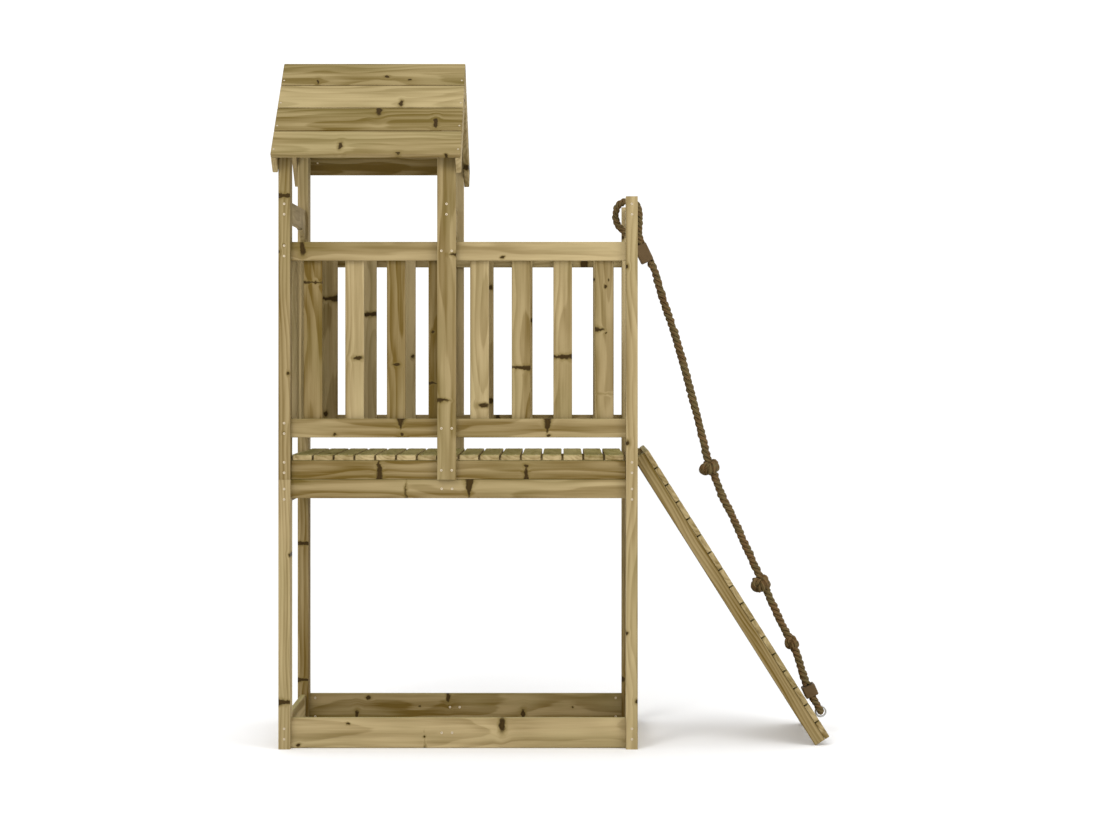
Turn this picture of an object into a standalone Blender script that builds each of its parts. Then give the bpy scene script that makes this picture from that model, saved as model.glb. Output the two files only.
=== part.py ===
"""A wooden playhouse tower with a raised deck, a gabled roof, a sandbox, a climbing wall and a knotted rope.

Metres, +Z up. The front is towards -Y, and the climbing wall leans on the tower's +X end.
The tower is laid out from its left posts' outer face, from its middle plane in Y and from the ground.
One empty then carries every piece, so that the origin lies under the middle of the whole object.
"""

import math

import bmesh
import bpy
from mathutils import Matrix, Vector

# Timber sections: planed boards and posts with rounded arrises.
BOARD_WIDTH = 0.058
BOARD_THICK = 0.0165
POST_WIDTH = 0.036
POST_DEPTH = 0.058
EDGE_ROUND = 0.0025
EDGE_STEPS = 2

# The tower's plan.
TOWER_LENGTH = 1.105
TOWER_DEPTH = 0.525
BOARD_SETBACK = 0.020
MID_POST_X = 0.5172

# Heights.
DECK_HEIGHT = 0.904
BOTTOM_RAIL_CLEARANCE = 0.054
GUARD_HEIGHT = 0.6575
HEADER_RISE = 0.1285
RIGHT_POST_RISE = 0.0105
UPPER_POST_LENGTH = 1.0297
SANDBOX_HEIGHT = 0.093
SANDBOX_FOOT_GAP = 0.001
DECK_END_RISE = 0.0083
DECK_END_GAP = 0.024

# The arched headers: the cut below them is flat, with a quarter of an ellipse at each end.
HEADER_END_DEPTH = 0.115
HEADER_MID_DEPTH = 0.065
HEADER_ARCH_REACH = 0.130
HEADER_ARCH_STEPS = 6

# Pales, with the clearance that the outermost ones keep to the posts, and deck planks.
PALE_COUNT = 8
PALE_CLEARANCE = 0.03705
PALE_RAIL_INSET = 0.003
END_PALE_COUNT = 3
END_PALE_CLEARANCE = 0.0585
LEAST_DECK_GAP = 0.006

# The roof.
ROOF_PITCH = math.radians(45)
ROOF_OVERHANG = 0.0575
ROOF_PLANK_COUNT = 4
ROOF_PLANK_GAP = 0.004

# The climbing wall.
WALL_REACH = 0.5533
WALL_SIDE_CLEARANCE = 0.0045
LEAST_WALL_GAP = 0.004
WALL_TOP_DROP = 0.006
STRINGER_DEPTH = 0.036
STRINGER_WIDTH = 0.058

# The rope, its knots, its sleeves (across, fore and aft, along) and the eye that holds its foot.
ROPE_DIAMETER = 0.023
ROPE_STEP = 0.046
LOOP_STEP = 0.008
ROPE_EXIT_SIDE = 0.008
KNOT_STRAND = 0.0205
KNOT_PITCH = 0.0213
KNOT_CLEARANCE = 0.0006
KNOT_TURNS = 1.2
KNOT_STEPS = 24
KNOT_HALF_LENGTH = 0.030
UPPER_SLEEVE = (0.042, 0.040, 0.061)
LOWER_SLEEVE = (0.043, 0.050, 0.038)
UPPER_SLEEVE_LEAN = math.radians(25.8)
LOWER_SLEEVE_LEAN = math.radians(24)
SLEEVE_ROUND = 0.006
UPPER_SLEEVE_FROM_BAR = Vector((0.0457, 0, -0.1231))
LOWER_SLEEVE_FROM_EYE = Vector((-0.0353, 0, 0.0671))
STRAND_ACROSS = 0.009
STRAND_FORE = 0.0075
FOOT_STRAND_FORE = 0.0125
SQUARE_RUN = 0.010
EYE_RING_RADIUS = 0.0165
EYE_WIRE = 0.006
EYE_RISE = 0.0215
EYE_FROM_FOOT = 0.040
EYE_COLLAR_RADIUS = 0.009
EYE_COLLAR_THICK = 0.0015
EYE_SIDES = 24
WIRE_SIDES = 8
END_LOOP_STEPS = 14

# The clearance between pieces that touch, how deep boards that form one panel bite into each other,
# and what is left on the end of a board until it is sawn.
CONTACT = 0.0003
BITE = 0.0002
SAW_ALLOWANCE = 0.010

# Hand-chosen points of the rope's route in X and Z: first from the bar's middle, then from the eye.
ROPE_FROM_BAR = [
    (0.0837, -0.1856),
    (0.1035, -0.2560),
    (0.1281, -0.3286),
    (0.1502, -0.3949),
    (0.1715, -0.4700),
    (0.1873, -0.5292),
    (0.2087, -0.6092),
    (0.2240, -0.6700),
    (0.2400, -0.7350),
    (0.2500, -0.7760),
    (0.2615, -0.8070),
    (0.2740, -0.8370),
    (0.2859, -0.8700),
    (0.3000, -0.9030),
    (0.3199, -0.9430),
    (0.3476, -1.0024),
    (0.3796, -1.0734),
    (0.4110, -1.1430),
    (0.4270, -1.1790),
    (0.4430, -1.2090),
    (0.4620, -1.2520),
    (0.4850, -1.3026),
    (0.5040, -1.3380),
    (0.5200, -1.3690),
    (0.5340, -1.3970),
    (0.5445, -1.4294),
]
ROPE_FROM_EYE = [(-0.0580, 0.1210)]
KNOT_PLACES = [(0.2615, -0.8070), (0.4270, -1.1790), (0.5200, -1.3690)]

# Hand-chosen points of the top loop over the bar, from the bar's middle, and from front to rear in Y.
TOP_LOOP = [
    (0.0318, -0.0075, -0.0640),
    (0.0312, -0.0070, -0.0420),
    (0.0314, -0.0060, -0.0180),
    (0.0315, -0.0050, 0.0070),
    (0.0205, -0.0030, 0.0336),
    (-0.0060, 0.0000, 0.0447),
    (-0.0325, 0.0030, 0.0336),
    (-0.0435, 0.0050, 0.0070),
    (-0.0425, 0.0060, -0.0130),
    (-0.0350, 0.0070, -0.0340),
    (-0.0136, 0.0075, -0.0560),
    (0.0070, 0.0075, -0.0730),
]

# Places that follow from the sizes above.
FRONT = TOWER_DEPTH / 2
POST_INNER = FRONT - POST_DEPTH
BOARD_OUTER = FRONT - BOARD_SETBACK
BOARD_INNER = BOARD_OUTER - BOARD_THICK
LEFT_END_X = POST_WIDTH / 2
RIGHT_END_X = TOWER_LENGTH - POST_WIDTH / 2
SPAN_LEFT = POST_WIDTH
SPAN_RIGHT = TOWER_LENGTH - POST_WIDTH
SPAN = SPAN_RIGHT - SPAN_LEFT

DECK_UNDERSIDE = DECK_HEIGHT - BOARD_THICK
BEAM_TOP = DECK_UNDERSIDE - CONTACT
LOWER_BEAM_TOP = BEAM_TOP - BOARD_WIDTH - CONTACT
LOWER_BEAM_FOOT = LOWER_BEAM_TOP - BOARD_WIDTH
UPPER_POST_FOOT = LOWER_BEAM_TOP + CONTACT
UPPER_POST_TOP = UPPER_POST_FOOT + UPPER_POST_LENGTH
BOTTOM_RAIL_TOP = DECK_HEIGHT + BOTTOM_RAIL_CLEARANCE + BOARD_WIDTH
TOP_RAIL_TOP = DECK_HEIGHT + GUARD_HEIGHT
HEADER_TOP = TOP_RAIL_TOP + HEADER_RISE
RIGHT_POST_TOP = HEADER_TOP + RIGHT_POST_RISE
SANDBOX_TOP = SANDBOX_FOOT_GAP + SANDBOX_HEIGHT
DECK_END_TOP = BEAM_TOP + DECK_END_RISE
LOWER_END_TOP = DECK_END_TOP - BOARD_WIDTH - DECK_END_GAP

ROOF_LEFT = -CONTACT - BOARD_THICK
ROOF_RIGHT = MID_POST_X + BOARD_WIDTH / 2 + CONTACT + BOARD_THICK
ROOF_SLOPE = (FRONT + ROOF_OVERHANG) / math.cos(ROOF_PITCH)
ROOF_BED = (BOARD_THICK + CONTACT) / math.cos(ROOF_PITCH)
RIDGE_HEIGHT = UPPER_POST_TOP + ROOF_BED + FRONT * math.tan(ROOF_PITCH)

WALL_TOP_X = RIGHT_END_X + BOARD_THICK / 2 + CONTACT
WALL_TOP_Z = DECK_END_TOP - WALL_TOP_DROP
WALL_FOOT_X = TOWER_LENGTH + WALL_REACH
WALL_SLOPE = math.atan2(WALL_TOP_Z, WALL_FOOT_X - WALL_TOP_X)
WALL_LENGTH = math.hypot(WALL_TOP_Z, WALL_FOOT_X - WALL_TOP_X)
WALL_THICK = STRINGER_DEPTH + BOARD_THICK
WALL_HALF = POST_INNER - WALL_SIDE_CLEARANCE
WALL_FOOT = Vector((WALL_FOOT_X, 0, 0))
UP_WALL = Vector((-math.cos(WALL_SLOPE), 0, math.sin(WALL_SLOPE)))
OFF_WALL = Vector((math.sin(WALL_SLOPE), 0, math.cos(WALL_SLOPE)))

# The rope hangs between the middle of the bar and the eye.
BAR = Vector((RIGHT_END_X, 0, HEADER_TOP - BOARD_WIDTH / 2))
EYE = WALL_FOOT + UP_WALL * EYE_FROM_FOOT + OFF_WALL * (WALL_THICK + EYE_RISE)
UPPER_SLEEVE_MIDDLE = BAR + UPPER_SLEEVE_FROM_BAR
LOWER_SLEEVE_MIDDLE = EYE + LOWER_SLEEVE_FROM_EYE
ORIGIN_X = (ROOF_LEFT + EYE.x + EYE_RING_RADIUS + EYE_WIRE / 2) / 2

# Colours, in linear light: impregnated pine, brown rope, brown moulded plastic and zinc-plated steel.
PINE = (0.42, 0.31, 0.15)
PINE_SHADED = (0.36, 0.26, 0.12)
ROPE_BROWN = (0.13, 0.08, 0.04)
SLEEVE_BROWN = (0.15, 0.09, 0.05)
STEEL = (0.62, 0.62, 0.60)
TIMBER_ROUGHNESS = 0.75
ROPE_ROUGHNESS = 0.9
SLEEVE_ROUGHNESS = 0.5
STEEL_ROUGHNESS = 0.35


def clear_scene():
    for old in list(bpy.data.objects):
        bpy.data.objects.remove(old)


def make_material(name, colour, roughness, metallic):
    material = bpy.data.materials.new(name)
    material.use_nodes = True
    shader = material.node_tree.nodes["Principled BSDF"]
    shader.inputs["Base Color"].default_value = (*colour, 1)
    shader.inputs["Roughness"].default_value = roughness
    shader.inputs["Metallic"].default_value = metallic
    return material


def add_object(name, data, carrier, colour, roughness=TIMBER_ROUGHNESS, metallic=0.0):
    """Puts a mesh or a curve in the scene as one named piece with a material of its own."""
    data.materials.append(make_material(name, colour, roughness, metallic))
    piece = bpy.data.objects.new(name, data)
    bpy.context.collection.objects.link(piece)
    piece.parent = carrier
    return piece


def mesh_from(bm, name):
    bmesh.ops.recalc_face_normals(bm, faces=bm.faces)
    mesh = bpy.data.meshes.new(name)
    bm.to_mesh(mesh)
    bm.free()
    return mesh


def extrude_outline(bm, corners, way):
    """Extrudes a closed outline of points by the vector way, as a saw or a planer leaves a board."""
    face = bm.faces.new([bm.verts.new(corner) for corner in corners])
    grown = bmesh.ops.extrude_face_region(bm, geom=[face])
    moved = [item for item in grown["geom"] if isinstance(item, bmesh.types.BMVert)]
    bmesh.ops.translate(bm, verts=moved, vec=way)


def rounded_outline(width, height):
    """A board's cross section round its middle, with its four arrises rounded."""
    points = []
    for quarter in range(4):
        side = 1 if quarter in (0, 3) else -1
        level = 1 if quarter in (0, 1) else -1
        for step in range(EDGE_STEPS + 1):
            angle = math.pi / 2 * (quarter + step / EDGE_STEPS)
            across = side * (width / 2 - EDGE_ROUND) + EDGE_ROUND * math.cos(angle)
            up = level * (height / 2 - EDGE_ROUND) + EDGE_ROUND * math.sin(angle)
            points.append((across, up))
    return points


def add_board(bm, low, high, place=Matrix()):
    """Adds one planed board between two corners: its grain runs along its longest side."""
    size = Vector(high) - Vector(low)
    middle = (Vector(high) + Vector(low)) / 2
    grain = max(range(3), key=lambda axis: size[axis])
    first, second = (grain + 1) % 3, (grain + 2) % 3
    corners = []
    for across, up in rounded_outline(size[first], size[second]):
        corner = middle.copy()
        corner[grain] = low[grain]
        corner[first] += across
        corner[second] += up
        corners.append(place @ corner)
    way = Vector((0, 0, 0))
    way[grain] = size[grain]
    extrude_outline(bm, corners, place.to_3x3() @ way)


def boards(name, boxes, carrier, colour=PINE, place=Matrix()):
    """Planed boards in one object, each given by its lowest and highest corner."""
    bm = bmesh.new()
    for low, high in boxes:
        add_board(bm, low, high, place)
    return add_object(name, mesh_from(bm, name), carrier, colour)


def fasten(piece, bearers):
    """Makes one panel of the boards in a piece and of the bearers that they bite into."""
    bearers.hide_render = True
    bearers.display_type = "WIRE"
    join = piece.modifiers.new(bearers.name, "BOOLEAN")
    join.operation = "UNION"
    join.solver = "EXACT"
    join.object = bearers


def saw_off(bm, point, outwards):
    """Saws boards at a plane: what lies outwards of it goes, and the ends are closed."""
    cut = bmesh.ops.bisect_plane(
        bm,
        geom=[*bm.verts, *bm.edges, *bm.faces],
        plane_co=point,
        plane_no=outwards,
        clear_outer=True,
    )
    rim = [item for item in cut["geom_cut"] if isinstance(item, bmesh.types.BMEdge)]
    bmesh.ops.holes_fill(bm, edges=rim)


def both_sides(low, high):
    """A box at the front, and its mirror image at the rear."""
    mirrored_low = (low[0], -high[1], low[2])
    mirrored_high = (high[0], -low[1], high[2])
    return {"front": (low, high), "rear": (mirrored_low, mirrored_high)}


def build_posts(carrier):
    """Two-piece posts at the left and whole ones at the right."""
    columns = {
        "left_lower_post": (0, POST_WIDTH, LOWER_BEAM_TOP),
        "right_post": (SPAN_RIGHT, TOWER_LENGTH, RIGHT_POST_TOP),
    }
    for name, (left, right, top) in columns.items():
        sides = both_sides((left, -FRONT, 0), (right, -POST_INNER, top))
        for side, box in sides.items():
            boards(f"{side}_{name}", [box], carrier)
    build_roof_posts("left_upper_post", 0, POST_WIDTH, POST_INNER, carrier)
    mid_left = MID_POST_X - BOARD_WIDTH / 2
    build_roof_posts("mid_post", mid_left, mid_left + BOARD_WIDTH, BOARD_OUTER + CONTACT, carrier)


def build_roof_posts(name, left, right, inner, carrier):
    """A front and a rear post with tops sawn to the slope of the roof that lies on them."""
    rise = (FRONT - inner) * math.tan(ROOF_PITCH)
    low = (left, -FRONT, UPPER_POST_FOOT)
    high = (right, -inner, UPPER_POST_TOP + rise + SAW_ALLOWANCE)
    for side, (near, far) in both_sides(low, high).items():
        facing = -1 if side == "front" else 1
        bm = bmesh.new()
        add_board(bm, near, far)
        out = Vector((0, facing * math.sin(ROOF_PITCH), math.cos(ROOF_PITCH)))
        saw_off(bm, (0, facing * FRONT, UPPER_POST_TOP), out)
        add_object(f"{side}_{name}", mesh_from(bm, name), carrier, PINE)


def build_long_boards(carrier):
    """Rails, beams and sandbox boards between the left and the right posts."""
    tops = {
        "top_rail": (TOP_RAIL_TOP, BOARD_WIDTH),
        "bottom_rail": (BOTTOM_RAIL_TOP, BOARD_WIDTH),
        "lower_beam": (LOWER_BEAM_TOP, BOARD_WIDTH),
        "sandbox_board": (SANDBOX_TOP, SANDBOX_HEIGHT),
    }
    for name, (top, height) in tops.items():
        low = (SPAN_LEFT + CONTACT, -BOARD_OUTER, top - height)
        high = (SPAN_RIGHT - CONTACT, -BOARD_INNER, top)
        for side, box in both_sides(low, high).items():
            boards(f"{side}_{name}", [box], carrier)


def build_end_boards(carrier):
    """Boards that run from front to rear between the posts of each end, and the rope's bar."""
    tops = {
        "left_top_rail": (LEFT_END_X, TOP_RAIL_TOP, BOARD_WIDTH),
        "left_upper_deck_board": (LEFT_END_X, DECK_END_TOP, BOARD_WIDTH),
        "left_lower_deck_board": (LEFT_END_X, LOWER_END_TOP, BOARD_WIDTH),
        "left_sandbox_board": (LEFT_END_X, SANDBOX_TOP, SANDBOX_HEIGHT),
        "right_upper_deck_board": (RIGHT_END_X, DECK_END_TOP, BOARD_WIDTH),
        "right_lower_deck_board": (RIGHT_END_X, LOWER_END_TOP, BOARD_WIDTH),
        "right_sandbox_board": (RIGHT_END_X, SANDBOX_TOP, SANDBOX_HEIGHT),
        "rope_bar": (RIGHT_END_X, HEADER_TOP, BOARD_WIDTH),
    }
    reach = POST_INNER - CONTACT
    for name, (middle, top, height) in tops.items():
        low = (middle - BOARD_THICK / 2, -reach, top - height)
        high = (middle + BOARD_THICK / 2, reach, top)
        boards(name, [(low, high)], carrier, PINE_SHADED)


def header_outline(reach):
    """The arched header's outline in Y and Z, with its ends at plus and minus reach."""
    foot = HEADER_TOP - HEADER_END_DEPTH
    rise = HEADER_END_DEPTH - HEADER_MID_DEPTH
    inside = POST_INNER - CONTACT
    right = []
    for step in range(HEADER_ARCH_STEPS + 1):
        angle = math.pi / 2 * step / HEADER_ARCH_STEPS
        across = inside - HEADER_ARCH_REACH * (1 - math.cos(angle))
        right.append((across, foot + rise * math.sin(angle)))
    if reach > inside:
        right.insert(0, (reach, foot))
    left = [(-across, height) for across, height in reversed(right)]
    return [(reach, HEADER_TOP), *right, *left, (-reach, HEADER_TOP)]


def build_header(name, middle, reach, carrier):
    """A board with its lower edge sawn to a flat arch."""
    bm = bmesh.new()
    back = middle - BOARD_THICK / 2
    corners = [(back, across, height) for across, height in header_outline(reach)]
    extrude_outline(bm, corners, Vector((BOARD_THICK, 0, 0)))
    piece = add_object(name, mesh_from(bm, name), carrier, PINE_SHADED)
    edges = piece.modifiers.new("edges", "BEVEL")
    edges.width = EDGE_ROUND / 2
    edges.segments = 1
    edges.limit_method = "ANGLE"
    edges.angle_limit = math.radians(60)


def build_headers(carrier):
    build_header("left_arched_header", LEFT_END_X, POST_INNER - CONTACT, carrier)
    build_header("mid_arched_header", MID_POST_X, BOARD_OUTER, carrier)


def build_pales(carrier):
    """Upright pales on the inner side of the front and rear rails."""
    foot = BOTTOM_RAIL_TOP - BOARD_WIDTH + PALE_RAIL_INSET
    top = TOP_RAIL_TOP - PALE_RAIL_INSET
    outer = -BOARD_INNER + CONTACT
    pitch = (SPAN - 2 * PALE_CLEARANCE - BOARD_WIDTH) / (PALE_COUNT - 1)
    for number in range(PALE_COUNT):
        left = SPAN_LEFT + PALE_CLEARANCE + number * pitch
        low = (left, outer, foot)
        high = (left + BOARD_WIDTH, outer + BOARD_THICK, top)
        for side, box in both_sides(low, high).items():
            boards(f"{side}_pale_{number + 1}", [box], carrier)


def build_left_guard(carrier):
    """The left end's pales, made up into one panel with the bottom rail that carries them."""
    foot = BOTTOM_RAIL_TOP - BOARD_WIDTH
    inner = LEFT_END_X + BOARD_THICK / 2 + CONTACT
    first = -POST_INNER + END_PALE_CLEARANCE
    pitch = (-2 * first - BOARD_WIDTH) / (END_PALE_COUNT - 1)
    boxes = []
    for number in range(END_PALE_COUNT):
        near = first + number * pitch
        low = (inner, near, foot + PALE_RAIL_INSET)
        high = (inner + BOARD_THICK, near + BOARD_WIDTH, TOP_RAIL_TOP - PALE_RAIL_INSET)
        boxes.append((low, high))
    pales = boards("left_guard_panel", boxes, carrier)
    reach = POST_INNER - CONTACT
    low = (LEFT_END_X - BOARD_THICK / 2, -reach, foot)
    rail = boards("left_bottom_rail", [(low, (inner + BITE, reach, BOTTOM_RAIL_TOP))], carrier)
    fasten(pales, rail)


def build_deck(carrier):
    """Planks from front to rear, made up with the two upper beams, and the cleats behind the beams."""
    count = math.floor((SPAN - LEAST_DECK_GAP) / (BOARD_WIDTH + LEAST_DECK_GAP))
    gap = (SPAN - count * BOARD_WIDTH) / (count + 1)
    boxes = []
    for number in range(count):
        left = SPAN_LEFT + gap + number * (BOARD_WIDTH + gap)
        low = (left, -BOARD_OUTER, DECK_UNDERSIDE)
        high = (left + BOARD_WIDTH, BOARD_OUTER, DECK_HEIGHT)
        boxes.append((low, high))
    planks = boards("deck", boxes, carrier)
    low = (SPAN_LEFT + CONTACT, -BOARD_OUTER, BEAM_TOP - BOARD_WIDTH)
    high = (SPAN_RIGHT - CONTACT, -BOARD_INNER, DECK_UNDERSIDE + BITE)
    beams = boards("upper_beams", list(both_sides(low, high).values()), carrier)
    fasten(planks, beams)
    outer = -BOARD_INNER + CONTACT
    low = (MID_POST_X - BOARD_WIDTH / 2, outer, LOWER_BEAM_FOOT)
    high = (MID_POST_X + BOARD_WIDTH / 2, outer + BOARD_THICK, BEAM_TOP)
    for side, box in both_sides(low, high).items():
        boards(f"{side}_beam_cleat", [box], carrier, PINE_SHADED)


def slope_place(side):
    """Local X is side times the ridge's X, local Y runs down the slope and local Z out of the roof."""
    down = Vector((0, side * math.cos(ROOF_PITCH), -math.sin(ROOF_PITCH)))
    out = Vector((0, side * math.sin(ROOF_PITCH), math.cos(ROOF_PITCH)))
    place = Matrix((down.cross(out), down, out)).transposed().to_4x4()
    place.translation = (0, 0, RIDGE_HEIGHT)
    return place


def slope_boards(name, side, boxes, carrier, colour):
    """Boards on one slope, mitred where they cross the middle plane, so that both slopes meet there."""
    bm = bmesh.new()
    for (left, top, bottom), (right, low_end, surface) in boxes:
        near, far = sorted((side * left, side * right))
        add_board(bm, (near, top, bottom), (far, low_end, surface), slope_place(side))
    saw_off(bm, (0, side * CONTACT / 2, 0), (0, -side, 0))
    return add_object(name, mesh_from(bm, name), carrier, colour)


def build_roof(carrier):
    """Two slopes of planks, each made up with its left rafter, and the rafters on the mid posts."""
    pitch = (ROOF_SLOPE + ROOF_PLANK_GAP) / ROOF_PLANK_COUNT
    foot = -BOARD_THICK - CONTACT - BOARD_WIDTH
    mid = ROOF_RIGHT - BOARD_THICK
    for side, word in ((-1, "front"), (1, "rear")):
        boxes = []
        for number in range(ROOF_PLANK_COUNT):
            upper = number * pitch
            lower = upper + pitch - ROOF_PLANK_GAP
            boxes.append(((ROOF_LEFT, upper, -BOARD_THICK), (ROOF_RIGHT, lower, 0)))
        planks = slope_boards(f"{word}_roof_slope", side, boxes, carrier, PINE)
        box = ((ROOF_LEFT, 0, foot), (ROOF_LEFT + BOARD_THICK, ROOF_SLOPE, BITE - BOARD_THICK))
        rafter = slope_boards(f"{word}_left_rafter", side, [box], carrier, PINE_SHADED)
        fasten(planks, rafter)
        box = ((mid, 0, foot), (ROOF_RIGHT, ROOF_SLOPE, -BOARD_THICK - CONTACT))
        slope_boards(f"{word}_mid_rafter", side, [box], carrier, PINE_SHADED)


def build_wall(carrier):
    """Planks made up with two stringers, leaning from the ground on the deck's end board."""
    across = OFF_WALL.cross(UP_WALL)
    place = Matrix((UP_WALL, across, OFF_WALL)).transposed().to_4x4()
    place.translation = WALL_FOOT
    count = math.floor((WALL_LENGTH + LEAST_WALL_GAP) / (BOARD_WIDTH + LEAST_WALL_GAP))
    gap = (WALL_LENGTH - count * BOARD_WIDTH) / (count - 1)
    boxes = []
    for number in range(count):
        foot = number * (BOARD_WIDTH + gap)
        low = (foot, -WALL_HALF, STRINGER_DEPTH)
        boxes.append((low, (foot + BOARD_WIDTH, WALL_HALF, WALL_THICK)))
    planks = boards("climbing_wall", boxes, carrier, PINE, place)
    low = (0, -WALL_HALF, 0)
    high = (WALL_LENGTH, STRINGER_WIDTH - WALL_HALF, STRINGER_DEPTH + BITE)
    stringers = list(both_sides(low, high).values())
    fasten(planks, boards("wall_stringers", stringers, carrier, PINE_SHADED, place))


def smooth_curve(points, slices=16):
    """A fine smooth curve through a hand-chosen route, with the length run at each of its points."""
    padded = [2 * points[0] - points[1], *points, 2 * points[-1] - points[-2]]
    fine = []
    for start in range(len(points) - 1):
        a, b, c, d = padded[start : start + 4]
        for number in range(slices):
            t = number / slices
            bend = 2 * b + (c - a) * t + (2 * a - 5 * b + 4 * c - d) * t**2
            fine.append((bend + (3 * b - a - 3 * c + d) * t**3) / 2)
    fine.append(points[-1])
    lengths = [0.0]
    for first, second in zip(fine, fine[1:]):
        lengths.append(lengths[-1] + (second - first).length)
    return fine, lengths


def point_at(curve, run):
    """The point of a fine curve that lies a given length along it."""
    fine, lengths = curve
    for number in range(1, len(fine)):
        if lengths[number] >= run:
            share = (run - lengths[number - 1]) / (lengths[number] - lengths[number - 1])
            return fine[number - 1].lerp(fine[number], share)
    return fine[-1]


def spaced_points(curve, start, end, step):
    """Evenly spaced points between two lengths along a fine curve, both ends among them."""
    count = max(1, round((end - start) / step))
    return [point_at(curve, start + (end - start) * number / count) for number in range(count + 1)]


def tube(name, points, diameter, carrier, resolution=2):
    """A cord as a curve with a round section and closed ends."""
    curve = bpy.data.curves.new(name, "CURVE")
    curve.dimensions = "3D"
    curve.bevel_depth = diameter / 2
    curve.bevel_resolution = resolution
    curve.use_fill_caps = True
    spline = curve.splines.new("POLY")
    spline.points.add(len(points) - 1)
    for target, point in zip(spline.points, points):
        target.co = (*point, 1)
    add_object(name, curve, carrier, ROPE_BROWN, ROPE_ROUGHNESS)


def report_gap(name, points, diameter, apart):
    """Prints how close a wound tube comes to itself, between points a given length apart or more."""
    runs = [0.0]
    for first, second in zip(points, points[1:]):
        runs.append(runs[-1] + (second - first).length)
    gaps = []
    for number, point in enumerate(points):
        for other in range(number + 1, len(points)):
            if runs[other] - runs[number] >= apart:
                gaps.append((points[other] - point).length - diameter)
    print(f"{name}: least gap to itself {min(gaps) * 1000:.2f} mm")


def sleeve_axes(lean):
    """Up along a sleeve that leans back from the vertical, and across it to the right."""
    up = Vector((-math.sin(lean), 0, math.cos(lean)))
    return up, Vector((math.cos(lean), 0, math.sin(lean)))


def build_sleeve(name, size, middle, lean, carrier):
    """A moulded block that clamps the rope's strands, with all its edges well rounded."""
    up, across = sleeve_axes(lean)
    place = Matrix((across, Vector((0, 1, 0)), up)).transposed().to_4x4()
    place.translation = middle
    bm = bmesh.new()
    bmesh.ops.create_cube(bm, size=1, matrix=place @ Matrix.Diagonal((*size, 1)))
    piece = add_object(name, mesh_from(bm, name), carrier, SLEEVE_BROWN, SLEEVE_ROUGHNESS)
    rounding = piece.modifiers.new("rounding", "BEVEL")
    rounding.width = SLEEVE_ROUND
    rounding.segments = 3
    rounding.limit_method = "NONE"


def rope_route():
    """From the upper sleeve's lower face to the lower sleeve's upper face, in the middle plane."""
    up, across = sleeve_axes(UPPER_SLEEVE_LEAN)
    exit_point = UPPER_SLEEVE_MIDDLE - up * (UPPER_SLEEVE[2] / 2 + CONTACT) + across * ROPE_EXIT_SIDE
    down_end, _ = sleeve_axes(LOWER_SLEEVE_LEAN)
    entry = LOWER_SLEEVE_MIDDLE + down_end * (LOWER_SLEEVE[2] / 2 + CONTACT)
    route = [exit_point, exit_point - up * SQUARE_RUN]
    route += [BAR + Vector((x, 0, z)) for x, z in ROPE_FROM_BAR]
    route += [EYE + Vector((x, 0, z)) for x, z in ROPE_FROM_EYE]
    route += [entry + down_end * SQUARE_RUN, entry]
    return route


def wound_knot(middle, along):
    """Points of a strand wound round the rope: a helix whose two ends lie at the rear."""
    fore = Vector((0, 1, 0))
    side = fore.cross(along)
    radius = (ROPE_DIAMETER + KNOT_STRAND) / 2 + KNOT_CLEARANCE
    count = round(KNOT_TURNS * KNOT_STEPS)
    points = []
    for number in range(count + 1):
        turn = KNOT_TURNS * (number / count - 0.5)
        angle = 2 * math.pi * turn
        out = side * math.sin(angle) - fore * math.cos(angle)
        points.append(middle + out * radius + along * turn * KNOT_PITCH)
    return points


def build_rope(carrier):
    """The climbing rope, straight inside each knot, and the strands that the knots wind round it."""
    curve = smooth_curve(rope_route())
    fine, lengths = curve
    points = []
    start = 0.0
    for number, (x, z) in enumerate(KNOT_PLACES, 1):
        wanted = BAR + Vector((x, 0, z))
        nearest = min(range(len(fine)), key=lambda place: (fine[place] - wanted).length)
        enter = lengths[nearest] - KNOT_HALF_LENGTH
        leave = lengths[nearest] + KNOT_HALF_LENGTH
        points += spaced_points(curve, start, enter, ROPE_STEP)
        start = leave
        upper, lower = point_at(curve, enter), point_at(curve, leave)
        winding = wound_knot((upper + lower) / 2, (upper - lower).normalized())
        name = f"rope_knot_{number}"
        tube(name, winding, KNOT_STRAND, carrier)
        report_gap(name, winding, KNOT_STRAND, math.pi * ROPE_DIAMETER)
    points += spaced_points(curve, start, lengths[-1] - SQUARE_RUN, ROPE_STEP)
    points.append(fine[-1])
    points.insert(1, point_at(curve, SQUARE_RUN))
    tube("climbing_rope", points, ROPE_DIAMETER, carrier)
    run = sum((second - first).length for first, second in zip(points, points[1:]))
    print(f"climbing_rope: {run:.3f} m between its sleeves")


def build_top_loop(carrier):
    """The loop that hangs over the bar: both its strands enter the upper sleeve, one before the other."""
    up, across = sleeve_axes(UPPER_SLEEVE_LEAN)
    top = UPPER_SLEEVE_MIDDLE + up * (UPPER_SLEEVE[2] / 2 + CONTACT)
    offset = across * STRAND_ACROSS - Vector((0, STRAND_FORE, 0))
    route = [top + offset, top + offset + up * SQUARE_RUN]
    route += [BAR + Vector(point) for point in TOP_LOOP]
    route += [top - offset + up * SQUARE_RUN, top - offset]
    curve = smooth_curve(route)
    points = spaced_points(curve, SQUARE_RUN, curve[1][-1] - SQUARE_RUN, LOOP_STEP)
    points = [route[0], *points, route[-1]]
    tube("rope_top_loop", points, ROPE_DIAMETER, carrier, 4)
    report_gap("rope_top_loop", points, ROPE_DIAMETER, 4 * ROPE_DIAMETER)


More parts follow.
